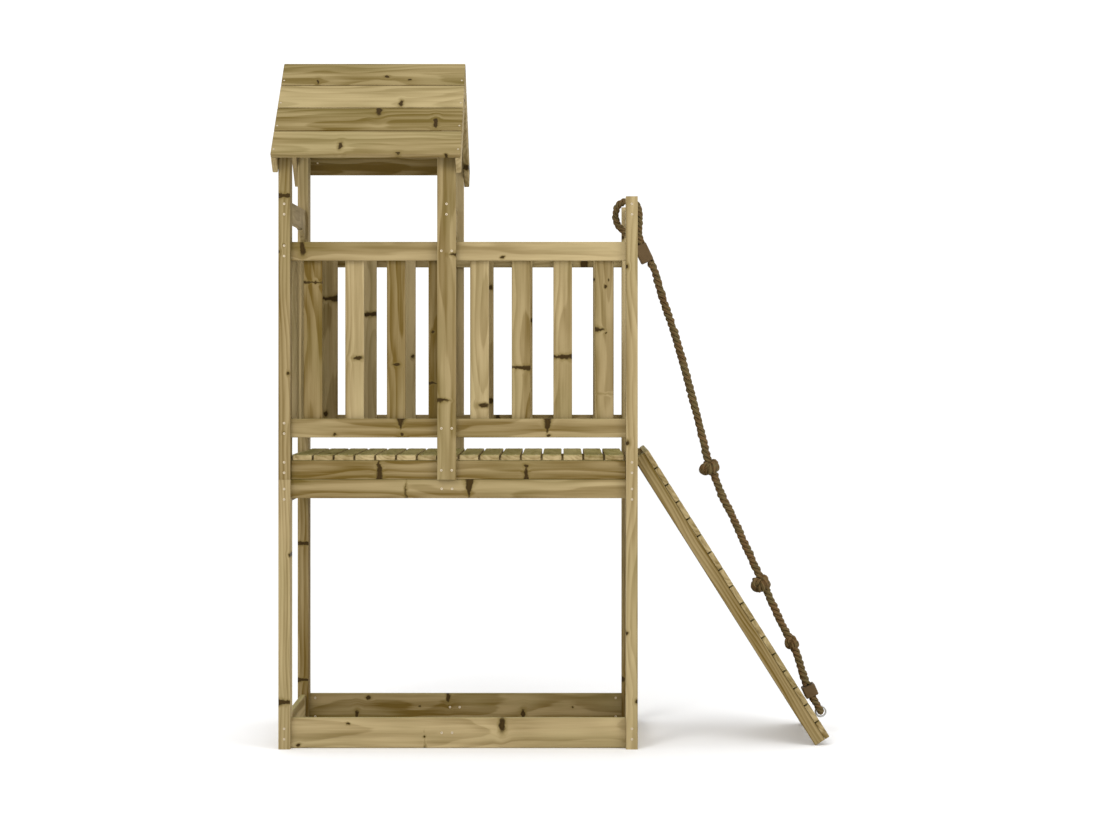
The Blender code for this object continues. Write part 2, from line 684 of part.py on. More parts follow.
def build_end_loop(carrier):
    """The loop round the eye's wire: it goes down before the ring, through it and up behind it."""
    up, _ = sleeve_axes(LOWER_SLEEVE_LEAN)
    bottom = LOWER_SLEEVE_MIDDLE - up * (LOWER_SLEEVE[2] / 2 + CONTACT)
    pull = (bottom - EYE).normalized()
    wire = EYE + pull * EYE_RING_RADIUS
    bend = (EYE_WIRE + ROPE_DIAMETER) / 2 + 2 * CONTACT
    fore = Vector((0, 1, 0))
    points = [bottom - fore * FOOT_STRAND_FORE]
    points.append(points[0] - up * SQUARE_RUN)
    for number in range(END_LOOP_STEPS + 1):
        angle = math.pi * (number / END_LOOP_STEPS - 0.5)
        points.append(wire + fore * bend * math.sin(angle) - pull * bend * math.cos(angle))
    points.append(bottom + fore * FOOT_STRAND_FORE - up * SQUARE_RUN)
    points.append(bottom + fore * FOOT_STRAND_FORE)
    tube("rope_end_loop", points, ROPE_DIAMETER, carrier, 4)


def build_eye(carrier):
    """A ring of steel wire on a short shank with a collar, square to the climbing wall."""
    bm = bmesh.new()
    outside = Matrix.Translation((EYE_RING_RADIUS, 0, 0))
    section = bmesh.ops.create_circle(bm, segments=WIRE_SIDES, radius=EYE_WIRE / 2, matrix=outside)
    rim = {edge for vert in section["verts"] for edge in vert.link_edges}
    bmesh.ops.spin(
        bm,
        geom=[*section["verts"], *rim],
        cent=(0, 0, 0),
        axis=(0, 1, 0),
        angle=2 * math.pi,
        steps=EYE_SIDES,
        use_merge=True,
    )
    bmesh.ops.translate(bm, verts=bm.verts, vec=EYE)
    steel = (STEEL, STEEL_ROUGHNESS, 1.0)
    ring = add_object("eye_bolt", mesh_from(bm, "eye_bolt"), carrier, *steel)

    seat = EYE_RISE - CONTACT
    collar = seat - EYE_COLLAR_THICK
    profile = [
        (0, EYE_RING_RADIUS),
        (EYE_WIRE / 2, EYE_RING_RADIUS),
        (EYE_WIRE / 2, collar),
        (EYE_COLLAR_RADIUS, collar),
        (EYE_COLLAR_RADIUS, seat),
        (0, seat),
    ]
    bm = bmesh.new()
    corners = [bm.verts.new((radius, 0, -depth)) for radius, depth in profile]
    edges = [bm.edges.new(pair) for pair in zip(corners, corners[1:])]
    bmesh.ops.spin(
        bm,
        geom=[*corners, *edges],
        cent=(0, 0, 0),
        axis=(0, 0, 1),
        angle=2 * math.pi,
        steps=EYE_SIDES,
        use_merge=True,
    )
    bmesh.ops.remove_doubles(bm, verts=bm.verts, dist=CONTACT)
    turn = OFF_WALL.to_track_quat("Z", "Y").to_matrix().to_4x4()
    turn.translation = EYE
    bmesh.ops.transform(bm, matrix=turn, verts=bm.verts)
    shank = add_object("eye_shank", mesh_from(bm, "eye_shank"), carrier, *steel)
    fasten(ring, shank)


def build_playhouse():
    clear_scene()
    carrier = bpy.data.objects.new("playhouse", None)
    bpy.context.collection.objects.link(carrier)
    carrier.location = (-ORIGIN_X, 0, 0)
    build_posts(carrier)
    build_long_boards(carrier)
    build_end_boards(carrier)
    build_headers(carrier)
    build_pales(carrier)
    build_left_guard(carrier)
    build_deck(carrier)
    build_roof(carrier)
    build_wall(carrier)
    build_sleeve("rope_sleeve_upper", UPPER_SLEEVE, UPPER_SLEEVE_MIDDLE, UPPER_SLEEVE_LEAN, carrier)
    build_sleeve("rope_sleeve_lower", LOWER_SLEEVE, LOWER_SLEEVE_MIDDLE, LOWER_SLEEVE_LEAN, carrier)
    build_rope(carrier)
    build_top_loop(carrier)
    build_end_loop(carrier)
    build_eye(carrier)


build_playhouse()
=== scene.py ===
# %% [markdown]
# # A wooden playhouse with a climbing wall and a knotted rope
# The real object is a kit of planed, impregnated pine boards: a raised deck with a rail round it, a gabled
# roof over one half, a sandbox below, and a climbing wall that leans on the deck with a rope to pull on.
# The engineering model of it is loaded first. It fixes every size and place, and this lesson dresses it.

# %% Load the engineering model
import math
import random

import bmesh
import bpy
from mathutils import Matrix, Vector, noise


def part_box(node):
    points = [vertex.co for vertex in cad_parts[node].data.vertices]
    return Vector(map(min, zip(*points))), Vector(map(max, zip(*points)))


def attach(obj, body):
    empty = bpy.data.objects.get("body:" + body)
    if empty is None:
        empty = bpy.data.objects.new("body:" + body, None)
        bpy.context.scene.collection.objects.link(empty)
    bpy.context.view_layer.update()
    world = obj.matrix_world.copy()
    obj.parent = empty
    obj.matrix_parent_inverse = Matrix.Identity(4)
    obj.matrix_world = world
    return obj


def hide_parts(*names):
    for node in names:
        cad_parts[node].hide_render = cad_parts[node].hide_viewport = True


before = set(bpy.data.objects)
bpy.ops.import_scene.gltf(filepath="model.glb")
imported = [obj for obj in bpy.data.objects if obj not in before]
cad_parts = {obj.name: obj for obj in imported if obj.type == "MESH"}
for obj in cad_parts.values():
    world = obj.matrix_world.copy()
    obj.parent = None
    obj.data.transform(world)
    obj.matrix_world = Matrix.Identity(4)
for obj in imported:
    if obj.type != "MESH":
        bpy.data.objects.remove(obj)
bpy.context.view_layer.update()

# %% [markdown]
# ## The camera
# The photograph was taken square on to the front, 1.2 m up and about 6.4 m in front of the tower. A camera
# that looks level keeps upright posts parallel in the picture. It could be tilted to frame the object, but a
# small lens shift does that without making the posts lean.

# %% Camera at the photograph's place
CAMERA_PLACE = (0.0259, -6.6825, 1.198)
FOCAL_PIXELS = 2089
PICTURE_WIDTH = 1100
SENSOR_MM = 36
SHIFT_PIXELS = (-13.6, -52.3)

camera = bpy.data.objects.new("camera", bpy.data.cameras.new("camera"))
bpy.context.scene.collection.objects.link(camera)
camera.location = CAMERA_PLACE
camera.rotation_euler = (math.radians(90), 0, 0)
camera.data.sensor_width = SENSOR_MM
camera.data.lens = SENSOR_MM * FOCAL_PIXELS / PICTURE_WIDTH
camera.data.shift_x = SHIFT_PIXELS[0] / PICTURE_WIDTH
camera.data.shift_y = SHIFT_PIXELS[1] / PICTURE_WIDTH
bpy.context.scene.camera = camera
print(f"lens {camera.data.lens:.1f} mm")

# %% [markdown]
# ## Building materials from nodes
# Every finish here is a small network of nodes. It can be wired by hand in the editor or, as here, in code
# that is easy to change. Short helpers add a node and connect or set its inputs. The values given to them
# may be numbers or the sockets of other nodes.

# %% Helpers for node networks
def plug_in(tree, node, values):
    """Connects sockets to a node's inputs, and sets plain values there."""
    for place, value in values.items():
        if isinstance(value, bpy.types.NodeSocket):
            tree.links.new(value, node.inputs[place])
        else:
            node.inputs[place].default_value = value


def add_node(tree, kind, inputs, **settings):
    made = tree.nodes.new("ShaderNode" + kind)
    for name, value in settings.items():
        setattr(made, name, value)
    plug_in(tree, made, inputs)
    return made


def sum_of(tree, operation, *values):
    return add_node(tree, "Math", dict(enumerate(values)), operation=operation).outputs[0]


def weighted(tree, value, weight, rest=0.0):
    """The value times its weight, added to the rest."""
    return sum_of(tree, "MULTIPLY_ADD", value, weight, rest)


def vector_sum(tree, operation, *values):
    made = add_node(tree, "VectorMath", dict(enumerate(values)), operation=operation)
    return made.outputs["Value" if operation in ("LENGTH", "DOT_PRODUCT") else "Vector"]


def stretched(tree, vector, factors):
    return vector_sum(tree, "MULTIPLY", vector, factors)


def scaled(tree, vector, factor):
    return add_node(tree, "VectorMath", {0: vector, "Scale": factor}, operation="SCALE").outputs[0]


def mix_colours(tree, factor, first, second):
    return add_node(tree, "Mix", {0: factor, 6: first, 7: second}, data_type="RGBA").outputs[2]


def step_between(tree, value, low, high):
    """Rises smoothly from 0 at low to 1 at high, or falls if low is the larger."""
    inputs = {0: value, 1: low, 2: high, 3: 0.0, 4: 1.0}
    return add_node(tree, "MapRange", inputs, interpolation_type="SMOOTHSTEP").outputs[0]


def noise_of(tree, vector, scale=1.0, detail=2.0, rough=0.5, output="Fac"):
    values = {"Vector": vector, "Scale": scale, "Detail": detail, "Roughness": rough}
    return add_node(tree, "TexNoise", values).outputs[output]


def random_shift(tree, vector, scale, detail, reach):
    """A shift that differs from place to place, by up to half the reach either way."""
    colour = noise_of(tree, vector, scale, detail, output="Color")
    return stretched(tree, vector_sum(tree, "SUBTRACT", colour, (0.5, 0.5, 0.5)), reach)


def object_place(tree):
    return add_node(tree, "TexCoord", {}).outputs["Object"]


def new_material(name):
    made = bpy.data.materials.new(name)
    made.use_nodes = True
    return made, made.node_tree, made.node_tree.nodes["Principled BSDF"]


def finish_shader(tree, shader, colour, rough, gloss=0.5, height=None, depth=0.0, strength=1.0):
    """Plugs a finish into the shader, with a bump of the given depth where there is a height."""
    plug_in(tree, shader, {"Base Color": colour, "Roughness": rough, "Specular IOR Level": gloss})
    if height:
        bump = add_node(tree, "Bump", {"Height": height, "Distance": depth, "Strength": strength})
        tree.links.new(bump.outputs[0], shader.inputs["Normal"])


# %% [markdown]
# ## A branch in the wood
# A knot is a branch that was cut through. It could be painted as a spot, but a branch gives every kind by one
# rule: seen end on it makes an oval, and along its length it makes a dark wedge. So each knot is a point on
# the branch's middle line, the way that it grew and its thickness. The years' rings swerve round it, which is
# done by squeezing the wood's own coordinates towards the branch. X runs along the grain, Y across the board
# and Z through it.

# %% The knot, as a group of nodes
# The rings start to swerve five knot radii away, and end up squeezed to a fifth of their distance.
SWERVE_START, SWERVE_END, SWERVE = 5.0, 0.6, 0.8


def group_with(name, vectors, numbers, outputs):
    """A group of nodes with inputs for some vectors and numbers, and outputs of the kinds given."""
    tree = bpy.data.node_groups.new(name, "ShaderNodeTree")
    for labels, kind in ((vectors, "Vector"), (numbers, "Float")):
        for label in labels:
            tree.interface.new_socket(label, in_out="INPUT", socket_type="NodeSocket" + kind)
    for label, kind in outputs.items():
        tree.interface.new_socket(label, in_out="OUTPUT", socket_type="NodeSocket" + kind)
    enter = tree.nodes.new("NodeGroupInput")
    leave = tree.nodes.new("NodeGroupOutput")
    return tree, enter.outputs, leave


def make_knot_group():
    vectors, numbers = ("Wood", "Grain", "Centre", "Branch", "Oval"), ("Nearest", "Size", "Taper")
    outputs = {"Grain": "Vector", "Nearest": "Float"}
    tree, given, leave = group_with("branch in the wood", vectors, numbers, outputs)
    from_centre = vector_sum(tree, "SUBTRACT", given["Wood"], given["Centre"])
    along = vector_sum(tree, "DOT_PRODUCT", from_centre, given["Branch"])
    off_branch = vector_sum(tree, "SUBTRACT", from_centre, scaled(tree, given["Branch"], along))
    oval = stretched(tree, off_branch, given["Oval"])
    widening = weighted(tree, along, given["Taper"], 1.0)
    widening = add_node(tree, "Clamp", {0: widening, 1: 0.02, 2: 1.6}).outputs[0]
    radii = sum_of(tree, "DIVIDE", vector_sum(tree, "LENGTH", oval), weighted(tree, widening, given["Size"]))
    squeeze = weighted(tree, step_between(tree, radii, SWERVE_START, SWERVE_END), -SWERVE)
    sideways = stretched(tree, scaled(tree, oval, squeeze), (0.0, 1.0, 1.0))
    grain = vector_sum(tree, "ADD", given["Grain"], sideways)
    plug_in(tree, leave, {"Grain": grain, "Nearest": sum_of(tree, "MINIMUM", radii, given["Nearest"])})
    return tree


KNOT_GROUP = make_knot_group()
print("knot group:", len(KNOT_GROUP.nodes), "nodes")

# %% [markdown]
# ## Impregnated pine
# A board shows the tree's rings as a slice through many thin shells round the tree's heart. Stripes from a
# wave texture would look printed, so the distance from a heart that lies behind the face and wanders is used,
# and long flames appear. Green impregnation salts stain the pale spring wood olive, faces that look up get a
# painted pale green top light, fine fibres run along the grain, and the knots stay dark brown.

# %% Impregnated pine, as a group of nodes
RING_WIDTH = 0.0125
HEART = (0.0, 0.018, -0.060)
SPRING_WOOD = (0.400, 0.312, 0.162, 1)
SUMMER_WOOD = (0.113, 0.070, 0.013, 1)
OLIVE_WOOD = (0.155, 0.138, 0.045, 1)
# Painted light: faces that look up are lightened towards this pale green, as if lit from above.
TOP_LIGHT_WOOD = (0.330, 0.320, 0.110, 1)
KNOT_WOOD = (0.042, 0.024, 0.005, 1)
KNOT_RIM = (0.026, 0.014, 0.003, 1)
HALO_WOOD = (0.150, 0.106, 0.030, 1)
MIDDLE_TONE = 0.30
WOOD_GLOSS = 0.06
TREE_STEP = 3.1

# How far summer wood, streaks and fibres darken the wood, and how strong the stain and a knot's halo are.
SUMMER_SHARE, STREAK_SHARE, FIBRE_SHARE = 0.26, 0.42, 0.30
STAIN_SHARE, HALO_SHARE = 0.22, 0.7


def make_pine_group():
    outputs = {"Color": "Color", "Roughness": "Float", "Height": "Float"}
    numbers = ("Nearest", "Seed", "Tone", "Top light")
    tree, given, leave = group_with("impregnated pine", ("Grain", "Wood"), numbers, outputs)
    start = add_node(tree, "CombineXYZ", {0: weighted(tree, given["Seed"], TREE_STEP)}).outputs[0]
    grain = vector_sum(tree, "ADD", given["Grain"], start)
    wood = vector_sum(tree, "ADD", given["Wood"], start)

    wander = random_shift(tree, stretched(tree, grain, (1.3, 5.0, 5.0)), 1.0, 2.0, (0.0, 0.10, 0.12))
    across = vector_sum(tree, "ADD", stretched(tree, grain, (0.0, 1.0, 1.0)), wander)
    radius = vector_sum(tree, "LENGTH", vector_sum(tree, "SUBTRACT", across, HEART))
    ripple = noise_of(tree, stretched(tree, grain, (4.0, 60.0, 60.0)))
    part = sum_of(tree, "FRACT", weighted(tree, ripple, 0.5, sum_of(tree, "DIVIDE", radius, RING_WIDTH)))
    summer = weighted(tree, step_between(tree, part, 0.15, 0.85), step_between(tree, part, 1.0, 0.88))

    streaks = noise_of(tree, stretched(tree, grain, (1.4, 30.0, 30.0)), 1.0, 3.0, 0.55)
    fibres = noise_of(tree, stretched(tree, grain, (11.0, 620.0, 620.0)), 1.0, 3.0, 0.6)
    clouds = noise_of(tree, stretched(tree, wood, (2.4, 9.0, 9.0)))
    dark = weighted(tree, summer, SUMMER_SHARE, sum_of(tree, "SUBTRACT", given["Tone"], MIDDLE_TONE))
    dark = weighted(tree, step_between(tree, streaks, 0.36, 0.68), STREAK_SHARE, dark)
    dark = weighted(tree, sum_of(tree, "SUBTRACT", fibres, 0.5), FIBRE_SHARE, dark)
    dark = add_node(tree, "Clamp", {0: dark}).outputs[0]
    colour = mix_colours(tree, dark, SPRING_WOOD, SUMMER_WOOD)
    # Painted top light: the more a face looks up, the more it is mixed towards the pale green.
    normal = add_node(tree, "NewGeometry", {}).outputs["Normal"]
    upwards = add_node(tree, "SeparateXYZ", {0: normal}).outputs[2]
    top_light = weighted(tree, step_between(tree, upwards, 0.3, 0.95), given["Top light"])
    colour = mix_colours(tree, top_light, colour, TOP_LIGHT_WOOD)
    stain = weighted(tree, step_between(tree, clouds, 0.42, 0.72), STAIN_SHARE)
    colour = mix_colours(tree, stain, colour, OLIVE_WOOD)

    nearest = sum_of(tree, "ADD", given["Nearest"], weighted(tree, streaks, 0.8, -0.4))
    halo = weighted(tree, step_between(tree, nearest, 2.9, 0.8), HALO_SHARE)
    colour = mix_colours(tree, halo, colour, HALO_WOOD)
    core = step_between(tree, nearest, 1.5, 0.55)
    colour = mix_colours(tree, core, colour, KNOT_WOOD)
    rim = weighted(tree, core, step_between(tree, nearest, 0.3, 0.9))
    colour = mix_colours(tree, rim, colour, KNOT_RIM)
    rough = weighted(tree, core, -0.14, weighted(tree, fibres, 0.16, 0.60))
    height = weighted(tree, rim, -0.6, weighted(tree, summer, 0.35, weighted(tree, fibres, 0.5)))
    plug_in(tree, leave, {"Color": colour, "Roughness": rough, "Height": height})
    return tree


PINE_GROUP = make_pine_group()
print("pine group:", len(PINE_GROUP.nodes), "nodes")

# %% [markdown]
# ## One board, one piece of tree
# Two boards are never alike, so each gets a material of its own: the same group of nodes, with its own place
# in the tree, its own tone and its own knots. The board's own axes are given by a Mapping node, which turns
# the pattern so that the grain runs along the board. Panels of several planks carry these coordinates as an
# attribute on their points instead, with a new stretch of tree for every plank.

# %% A board's material
BUMP_DEPTH = 0.0004
FAR_AWAY = 10.0

# The way that the branch grew, and how much its distance counts along, across and through the board.
KNOT_KINDS = {
    "round": ((0, 0, 1), (0.8, 1.0, 1.0)),
    "tall": ((0, 0, 1), (1.0, 0.42, 1.0)),
    "wide_above": ((0, 1, 0), (0.8, 1.0, 0.3)),
    "wide_below": ((0, -1, 0), (0.8, 1.0, 0.3)),
    "post_round": ((0, 1, 0), (0.8, 1.0, 1.0)),
    "post_bar": ((0, 0, 1), (0.8, 1.0, 1.0)),
}


def ragged(tree, wood):
    """The same place moved a little at random, which gives an uneven edge to what is drawn there."""
    moved = vector_sum(tree, "ADD", wood, random_shift(tree, wood, 70.0, 1.0, (0.013, 0.008, 0.0)))
    return vector_sum(tree, "ADD", moved, random_shift(tree, wood, 340.0, 1.0, (0.0030, 0.0020, 0.0)))


def pine_material(wood, tree, shader, knots, seed, tone, top_light, gloss=WOOD_GLOSS):
    grain, nearest = wood, FAR_AWAY
    uneven = ragged(tree, wood) if knots else wood
    for kind, centre, size, taper in knots:
        branch, oval = KNOT_KINDS[kind]
        knot = add_node(tree, "Group", {}, node_tree=KNOT_GROUP)
        values = {"Wood": uneven, "Grain": grain, "Nearest": nearest, "Centre": centre}
        plug_in(tree, knot, values | {"Branch": branch, "Oval": oval, "Size": size, "Taper": taper})
        grain, nearest = knot.outputs["Grain"], knot.outputs["Nearest"]
    pine = add_node(tree, "Group", {}, node_tree=PINE_GROUP)
    values = {"Grain": grain, "Wood": wood, "Nearest": nearest, "Seed": seed, "Tone": tone, "Top light": top_light}
    plug_in(tree, pine, values)
    colour, rough, height = pine.outputs
    finish_shader(tree, shader, colour, rough, gloss, height, BUMP_DEPTH, 0.6)


def board_material(name, centre, turn, knots, seed, tone, drift=0.0, top_light=0.3):
    """A whole board's pine. Drift is how much darker the board gets per metre along its grain."""
    made, tree, shader = new_material(name)
    values = {"Vector": object_place(tree), "Location": centre, "Rotation": turn}
    wood = add_node(tree, "Mapping", values, vector_type="TEXTURE").outputs[0]
    if drift:
        along = add_node(tree, "SeparateXYZ", {0: wood}).outputs[0]
        tone = weighted(tree, along, drift, tone)
    pine_material(wood, tree, shader, knots, seed, tone, top_light)
    return made


def panel_material(name, knots=(), top_light=0.3, gloss=WOOD_GLOSS):
    made, tree, shader = new_material(name)
    wood = add_node(tree, "Attribute", {}, attribute_name="wood").outputs["Vector"]
    tone = add_node(tree, "Attribute", {}, attribute_name="tone").outputs["Fac"]
    pine_material(wood, tree, shader, knots, 0.0, tone, top_light, gloss)
    return made


# %% [markdown]
# ## The boards of the tower
# Posts, rails, beams and pales are whole boards in the engineering model and keep its shape. Their longest
# side tells which way the grain runs. The knots of the boards that face the camera are where the photograph
# shows them, and the others are drawn at random from a fixed seed, so that every run gives the same boards.

# %% Each board's axes, knots and tone
# How much dark wood the boards of each tone show, from 0 to 1; for a few boards it is painted shade or light.
TONES = {
    "palest": 0.10, "pale": 0.20, "light": 0.32, "plain": 0.44, "brown": 0.58, "umber": 0.66,
    "dark": 0.76, "russet": 0.87, "deep": 0.98,
}
POST_FACE = -0.029
RANDOM_KINDS = ("round", "wide_above", "wide_below")

# Kind, place along the board from its middle, place across it, half thickness, and a taper where it has one.
BOARD_KNOTS = {
    "front_top_rail": [
        ("tall", -0.4805, 0.0095, 0.0074), ("round", 0.1361, -0.0188, 0.0038),
        ("wide_below", -0.02, -0.02, 0.0016, 16),
    ],
    "front_bottom_rail": [
        ("wide_above", -0.178, 0.017, 0.0066, 33), ("round", -0.1734, -0.019, 0.0044),
        ("round", -0.3812, -0.0185, 0.003), ("wide_above", 0.2742, 0.012, 0.0058, 26),
        ("round", 0.279, -0.022, 0.0036),
    ],
    "front_lower_beam": [("wide_below", -0.162, -0.008, 0.0024, 9), ("wide_above", 0.0338, 0.014, 0.007, 16)],
    "front_sandbox_board": [
        ("tall", 0.1355, 0.0252, 0.0076), ("round", -0.1045, -0.012, 0.0026),
        ("wide_below", -0.104, -0.038, 0.0018, 11), ("round", -0.34, 0.028, 0.0028),
        ("round", -0.493, -0.037, 0.004),
    ],
    "rear_sandbox_board": [
        ("round", -0.321, 0.0328, 0.005), ("tall", -0.0568, 0.034, 0.0056), ("tall", -0.3591, -0.024, 0.0058),
        ("tall", 0.1912, -0.023, 0.0056), ("round", 0.354, 0.002, 0.0028), ("round", -0.15, 0.005, 0.0026),
    ],
    "front_left_upper_post": [
        ("post_bar", 0.3296, 0, 0.0046, 13), ("post_round", 0.1768, 0.0006, 0.0024),
        ("post_round", 0.1565, 0.017, 0.0034), ("post_round", -0.217, -0.012, 0.0034),
        ("post_round", -0.399, 0.001, 0.0022),
    ],
    "front_left_lower_post": [("post_bar", -0.269, 0, 0.005, 16), ("post_round", 0.184, -0.017, 0.0034)],
    "rear_left_lower_post": [("post_bar", 0.178, 0, 0.0038), ("post_bar", -0.2718, 0, 0.0036, 6)],
    "front_right_post": [
        ("post_round", 0.6341, 0.016, 0.0042), ("post_round", 0.092, 0.014, 0.0052),
        ("post_round", -0.4928, 0.015, 0.0034), ("post_round", -0.703, -0.015, 0.0044),
    ],
    "rear_right_post": [("post_round", 0.75, 0.015, 0.005), ("post_round", -0.706, 0.015, 0.006)],
    "front_mid_post": [
        ("wide_above", 0.1674, 0.0168, 0.0034, 33), ("wide_below", -0.281, -0.005, 0.0034, 22),
    ],
    "front_pale_1": [("wide_above", 0.1775, -0.004, 0.0028, -4), ("round", 0.1765, 0.008, 0.003)],
    "front_pale_2": [("tall", -0.0565, 0.011, 0.0046)],
    "front_pale_3": [("tall", -0.076, 0, 0.0042)],
    "front_pale_4": [
        ("round", 0.1969, 0.014, 0.004), ("round", 0.024, -0.015, 0.0036),
        ("wide_below", -0.134, -0.016, 0.0034, 22),
    ],
    "front_pale_5": [("tall", -0.2037, 0.0115, 0.0058)],
    "front_pale_6": [("wide_above", -0.0859, 0.006, 0.0042, 12), ("round", -0.0859, 0.009, 0.0048)],
    "front_pale_7": [("wide_above", -0.0528, 0.004, 0.005, 9)],
    "front_pale_8": [
        ("wide_below", 0.0316, -0.016, 0.004, 30), ("round", 0.0225, 0.006, 0.002),
        ("wide_above", -0.168, 0, 0.0015), ("round", 0.1648, 0.0035, 0.0028), ("round", 0.184, 0.0115, 0.002),
    ],
    "rear_pale_1": [("wide_above", 0.1407, 0.01, 0.0056, 12), ("round", -0.24, -0.01, 0.005)],
    "rear_pale_2": [("wide_above", 0.0895, 0, 0.0044)],
    "rear_pale_3": [("round", -0.052, 0.02, 0.0046)],
    "rear_pale_5": [("round", 0.178, 0.02, 0.006), ("round", -0.198, 0.02, 0.0066)],
    "rear_top_rail": [("wide_below", 0.3934, -0.016, 0.0078)],
    "rear_mid_post": [("round", 0.12, -0.02, 0.0032)],
}
BOARDS_OF_TONE = {
    "palest": ("rear_mid_post", "rear_pale_3"),
    "pale": ("front_pale_5", "rear_pale_2"),
    "light": (
        "front_left_lower_post", "front_right_post", "front_sandbox_board",
        "front_top_rail", "front_pale_2",
    ),
    "plain": ("front_pale_7", "rear_right_post"),
    "brown": (
        "front_mid_post", "front_lower_beam", "front_bottom_rail",
        "front_pale_6", "front_pale_8", "rear_pale_1",
    ),
    "umber": ("front_left_upper_post", "front_pale_3"),
    # Painted shade: the rear sandbox board and the rear left post are darkened for the shade inside the
    # tower.
    "dark": ("rear_sandbox_board", "rear_left_lower_post"),
    "russet": ("front_pale_1",),
    "deep": ("front_pale_4",),
}
BOARD_TONES = {board: tone for tone, boards in BOARDS_OF_TONE.items() for board in boards}
BOARD_DRIFTS = {"front_top_rail": -0.80, "front_lower_beam": -0.30, "rear_right_post": -0.75}
BOARD_SEEDS = {"front_pale_1": 71.0}


def board_axes(low, high):
    """Columns are the wood's own X, Y and Z as directions of the scene."""
    size = high - low
    order = sorted(range(3), key=lambda axis: -size[axis])
    columns = [Vector([float(axis == chosen) for axis in range(3)]) for chosen in order]
    if columns[0].cross(columns[1]).dot(columns[2]) < 0:
        columns[2] = -columns[2]
    return Matrix(columns).transposed()


def knot_at(kind, along, across, size, taper=0):
    """A knot's values for the material. On a post it sits in the front face, and across is to its side."""
    place = (along, POST_FACE, across) if kind.startswith("post") else (along, across, 0)
    return kind, place, size, taper


def random_knots(draw, length, width):
    count = draw.choice((1, 1, 2)) if length > 0.5 else draw.choice((0, 0, 1))
    knots = []
    for _ in range(count):
        along = draw.uniform(-0.46, 0.46) * length
        across = draw.uniform(-0.42, 0.42) * width
        kind = draw.choice(RANDOM_KINDS)
        taper = 0 if kind == "round" else draw.uniform(8, 36)
        knots.append(knot_at(kind, along, across, draw.uniform(0.0026, 0.0046), taper))
    return knots


def dress_board(name, number):
    low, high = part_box(name)
    draw = random.Random(f"{name} knots")
    size = sorted(high - low)
    knots = [knot_at(*values) for values in BOARD_KNOTS.get(name, ())]
    knots = knots or random_knots(draw, size[2], size[1])
    tone = TONES[BOARD_TONES.get(name) or draw.choice(("light", "plain", "plain", "brown"))]
    turn = board_axes(low, high).to_euler()
    drift = BOARD_DRIFTS.get(name, 0.0)
    seed = BOARD_SEEDS.get(name, number + 1.0)
    made = board_material(name, (low + high) / 2, turn, knots, seed, tone, drift)
    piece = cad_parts[name]
    piece.data.materials.clear()
    piece.data.materials.append(made)


PANELS = ("climbing_wall", "deck", "front_roof_slope", "rear_roof_slope", "left_guard_panel")
ROPE_PARTS = ("climbing_rope", "eye_bolt", "rope_end_loop", "rope_top_loop")
timber = []
for name in sorted(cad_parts):
    if name not in PANELS + ROPE_PARTS and not name.startswith(("rope_knot", "rope_sleeve")):
        timber.append(name)
for number, name in enumerate(timber):
    dress_board(name, number)
print("boards dressed:", len(timber))

# %% [markdown]
# ## Planks of the panels
# The deck, the roof, the climbing wall and the left guard are made up of many planks with gaps between them.
# One long box with lines drawn on it would look flat from the side, so each plank is a cube stretched to its
# size, whose edges are bevelled as a planer leaves them. Before it is put in place, every point notes where
# in its own piece of wood it lies.

# %% A planed plank
EDGE_ROUND = 0.0025


def place_mesh(bm, name, material):
    """Ends a bmesh as an object of the scene with one material."""
    mesh = bpy.data.meshes.new(name)
    bm.to_mesh(mesh)
    bm.free()
    mesh.materials.append(material)
    made = bpy.data.objects.new(name, mesh)
    bpy.context.scene.collection.objects.link(made)
    return made


def start_panel():
    bm = bmesh.new()
    bm.verts.layers.float_vector.new("wood")
    bm.verts.layers.float.new("tone")
    return bm


def add_plank(bm, low, high, place, tree_number, tone):
    low, high = Vector(low), Vector(high)
    size, middle = high - low, (high + low) / 2
    before = set(bm.verts)
    bmesh.ops.create_cube(bm, size=1, matrix=Matrix.Translation(middle) @ Matrix.Diagonal((*size, 1)))
    corners = [vert for vert in bm.verts if vert not in before]
    edges = list({edge for vert in corners for edge in vert.link_edges})
    rounding = {"offset": EDGE_ROUND, "segments": 2, "profile": 0.5, "affect": "EDGES", "material": -1}
    bmesh.ops.bevel(bm, geom=edges, clamp_overlap=True, **rounding)
    made = [vert for vert in bm.verts if vert not in before]
    wood_layer = bm.verts.layers.float_vector["wood"]
    tone_layer = bm.verts.layers.float["tone"]
    turned = board_axes(low, high).transposed()
    for vert in made:
        vert[wood_layer] = turned @ (vert.co - middle) + Vector((tree_number * TREE_STEP, 0, 0))
        vert[tone_layer] = TONES[tone]
    bmesh.ops.transform(bm, matrix=place, verts=made)


def finish_panel(bm, name, material, replaced=()):
    bmesh.ops.recalc_face_normals(bm, faces=bm.faces)
    piece = place_mesh(bm, name, material)
    piece.data.shade_smooth()
    piece.modifiers.new("even shading", "WEIGHTED_NORMAL").keep_sharp = True
    if replaced:
        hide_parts(*replaced)
    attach(piece, "root")
    print(name, "faces:", len(piece.data.polygons))
    return piece


# %% [markdown]
# ## Sizes that the panels share
# Planks that take a panel's place have to fit where it was. They could be fitted by eye, but the engineering
# model's boxes and the sizes of its boards give every place at once.

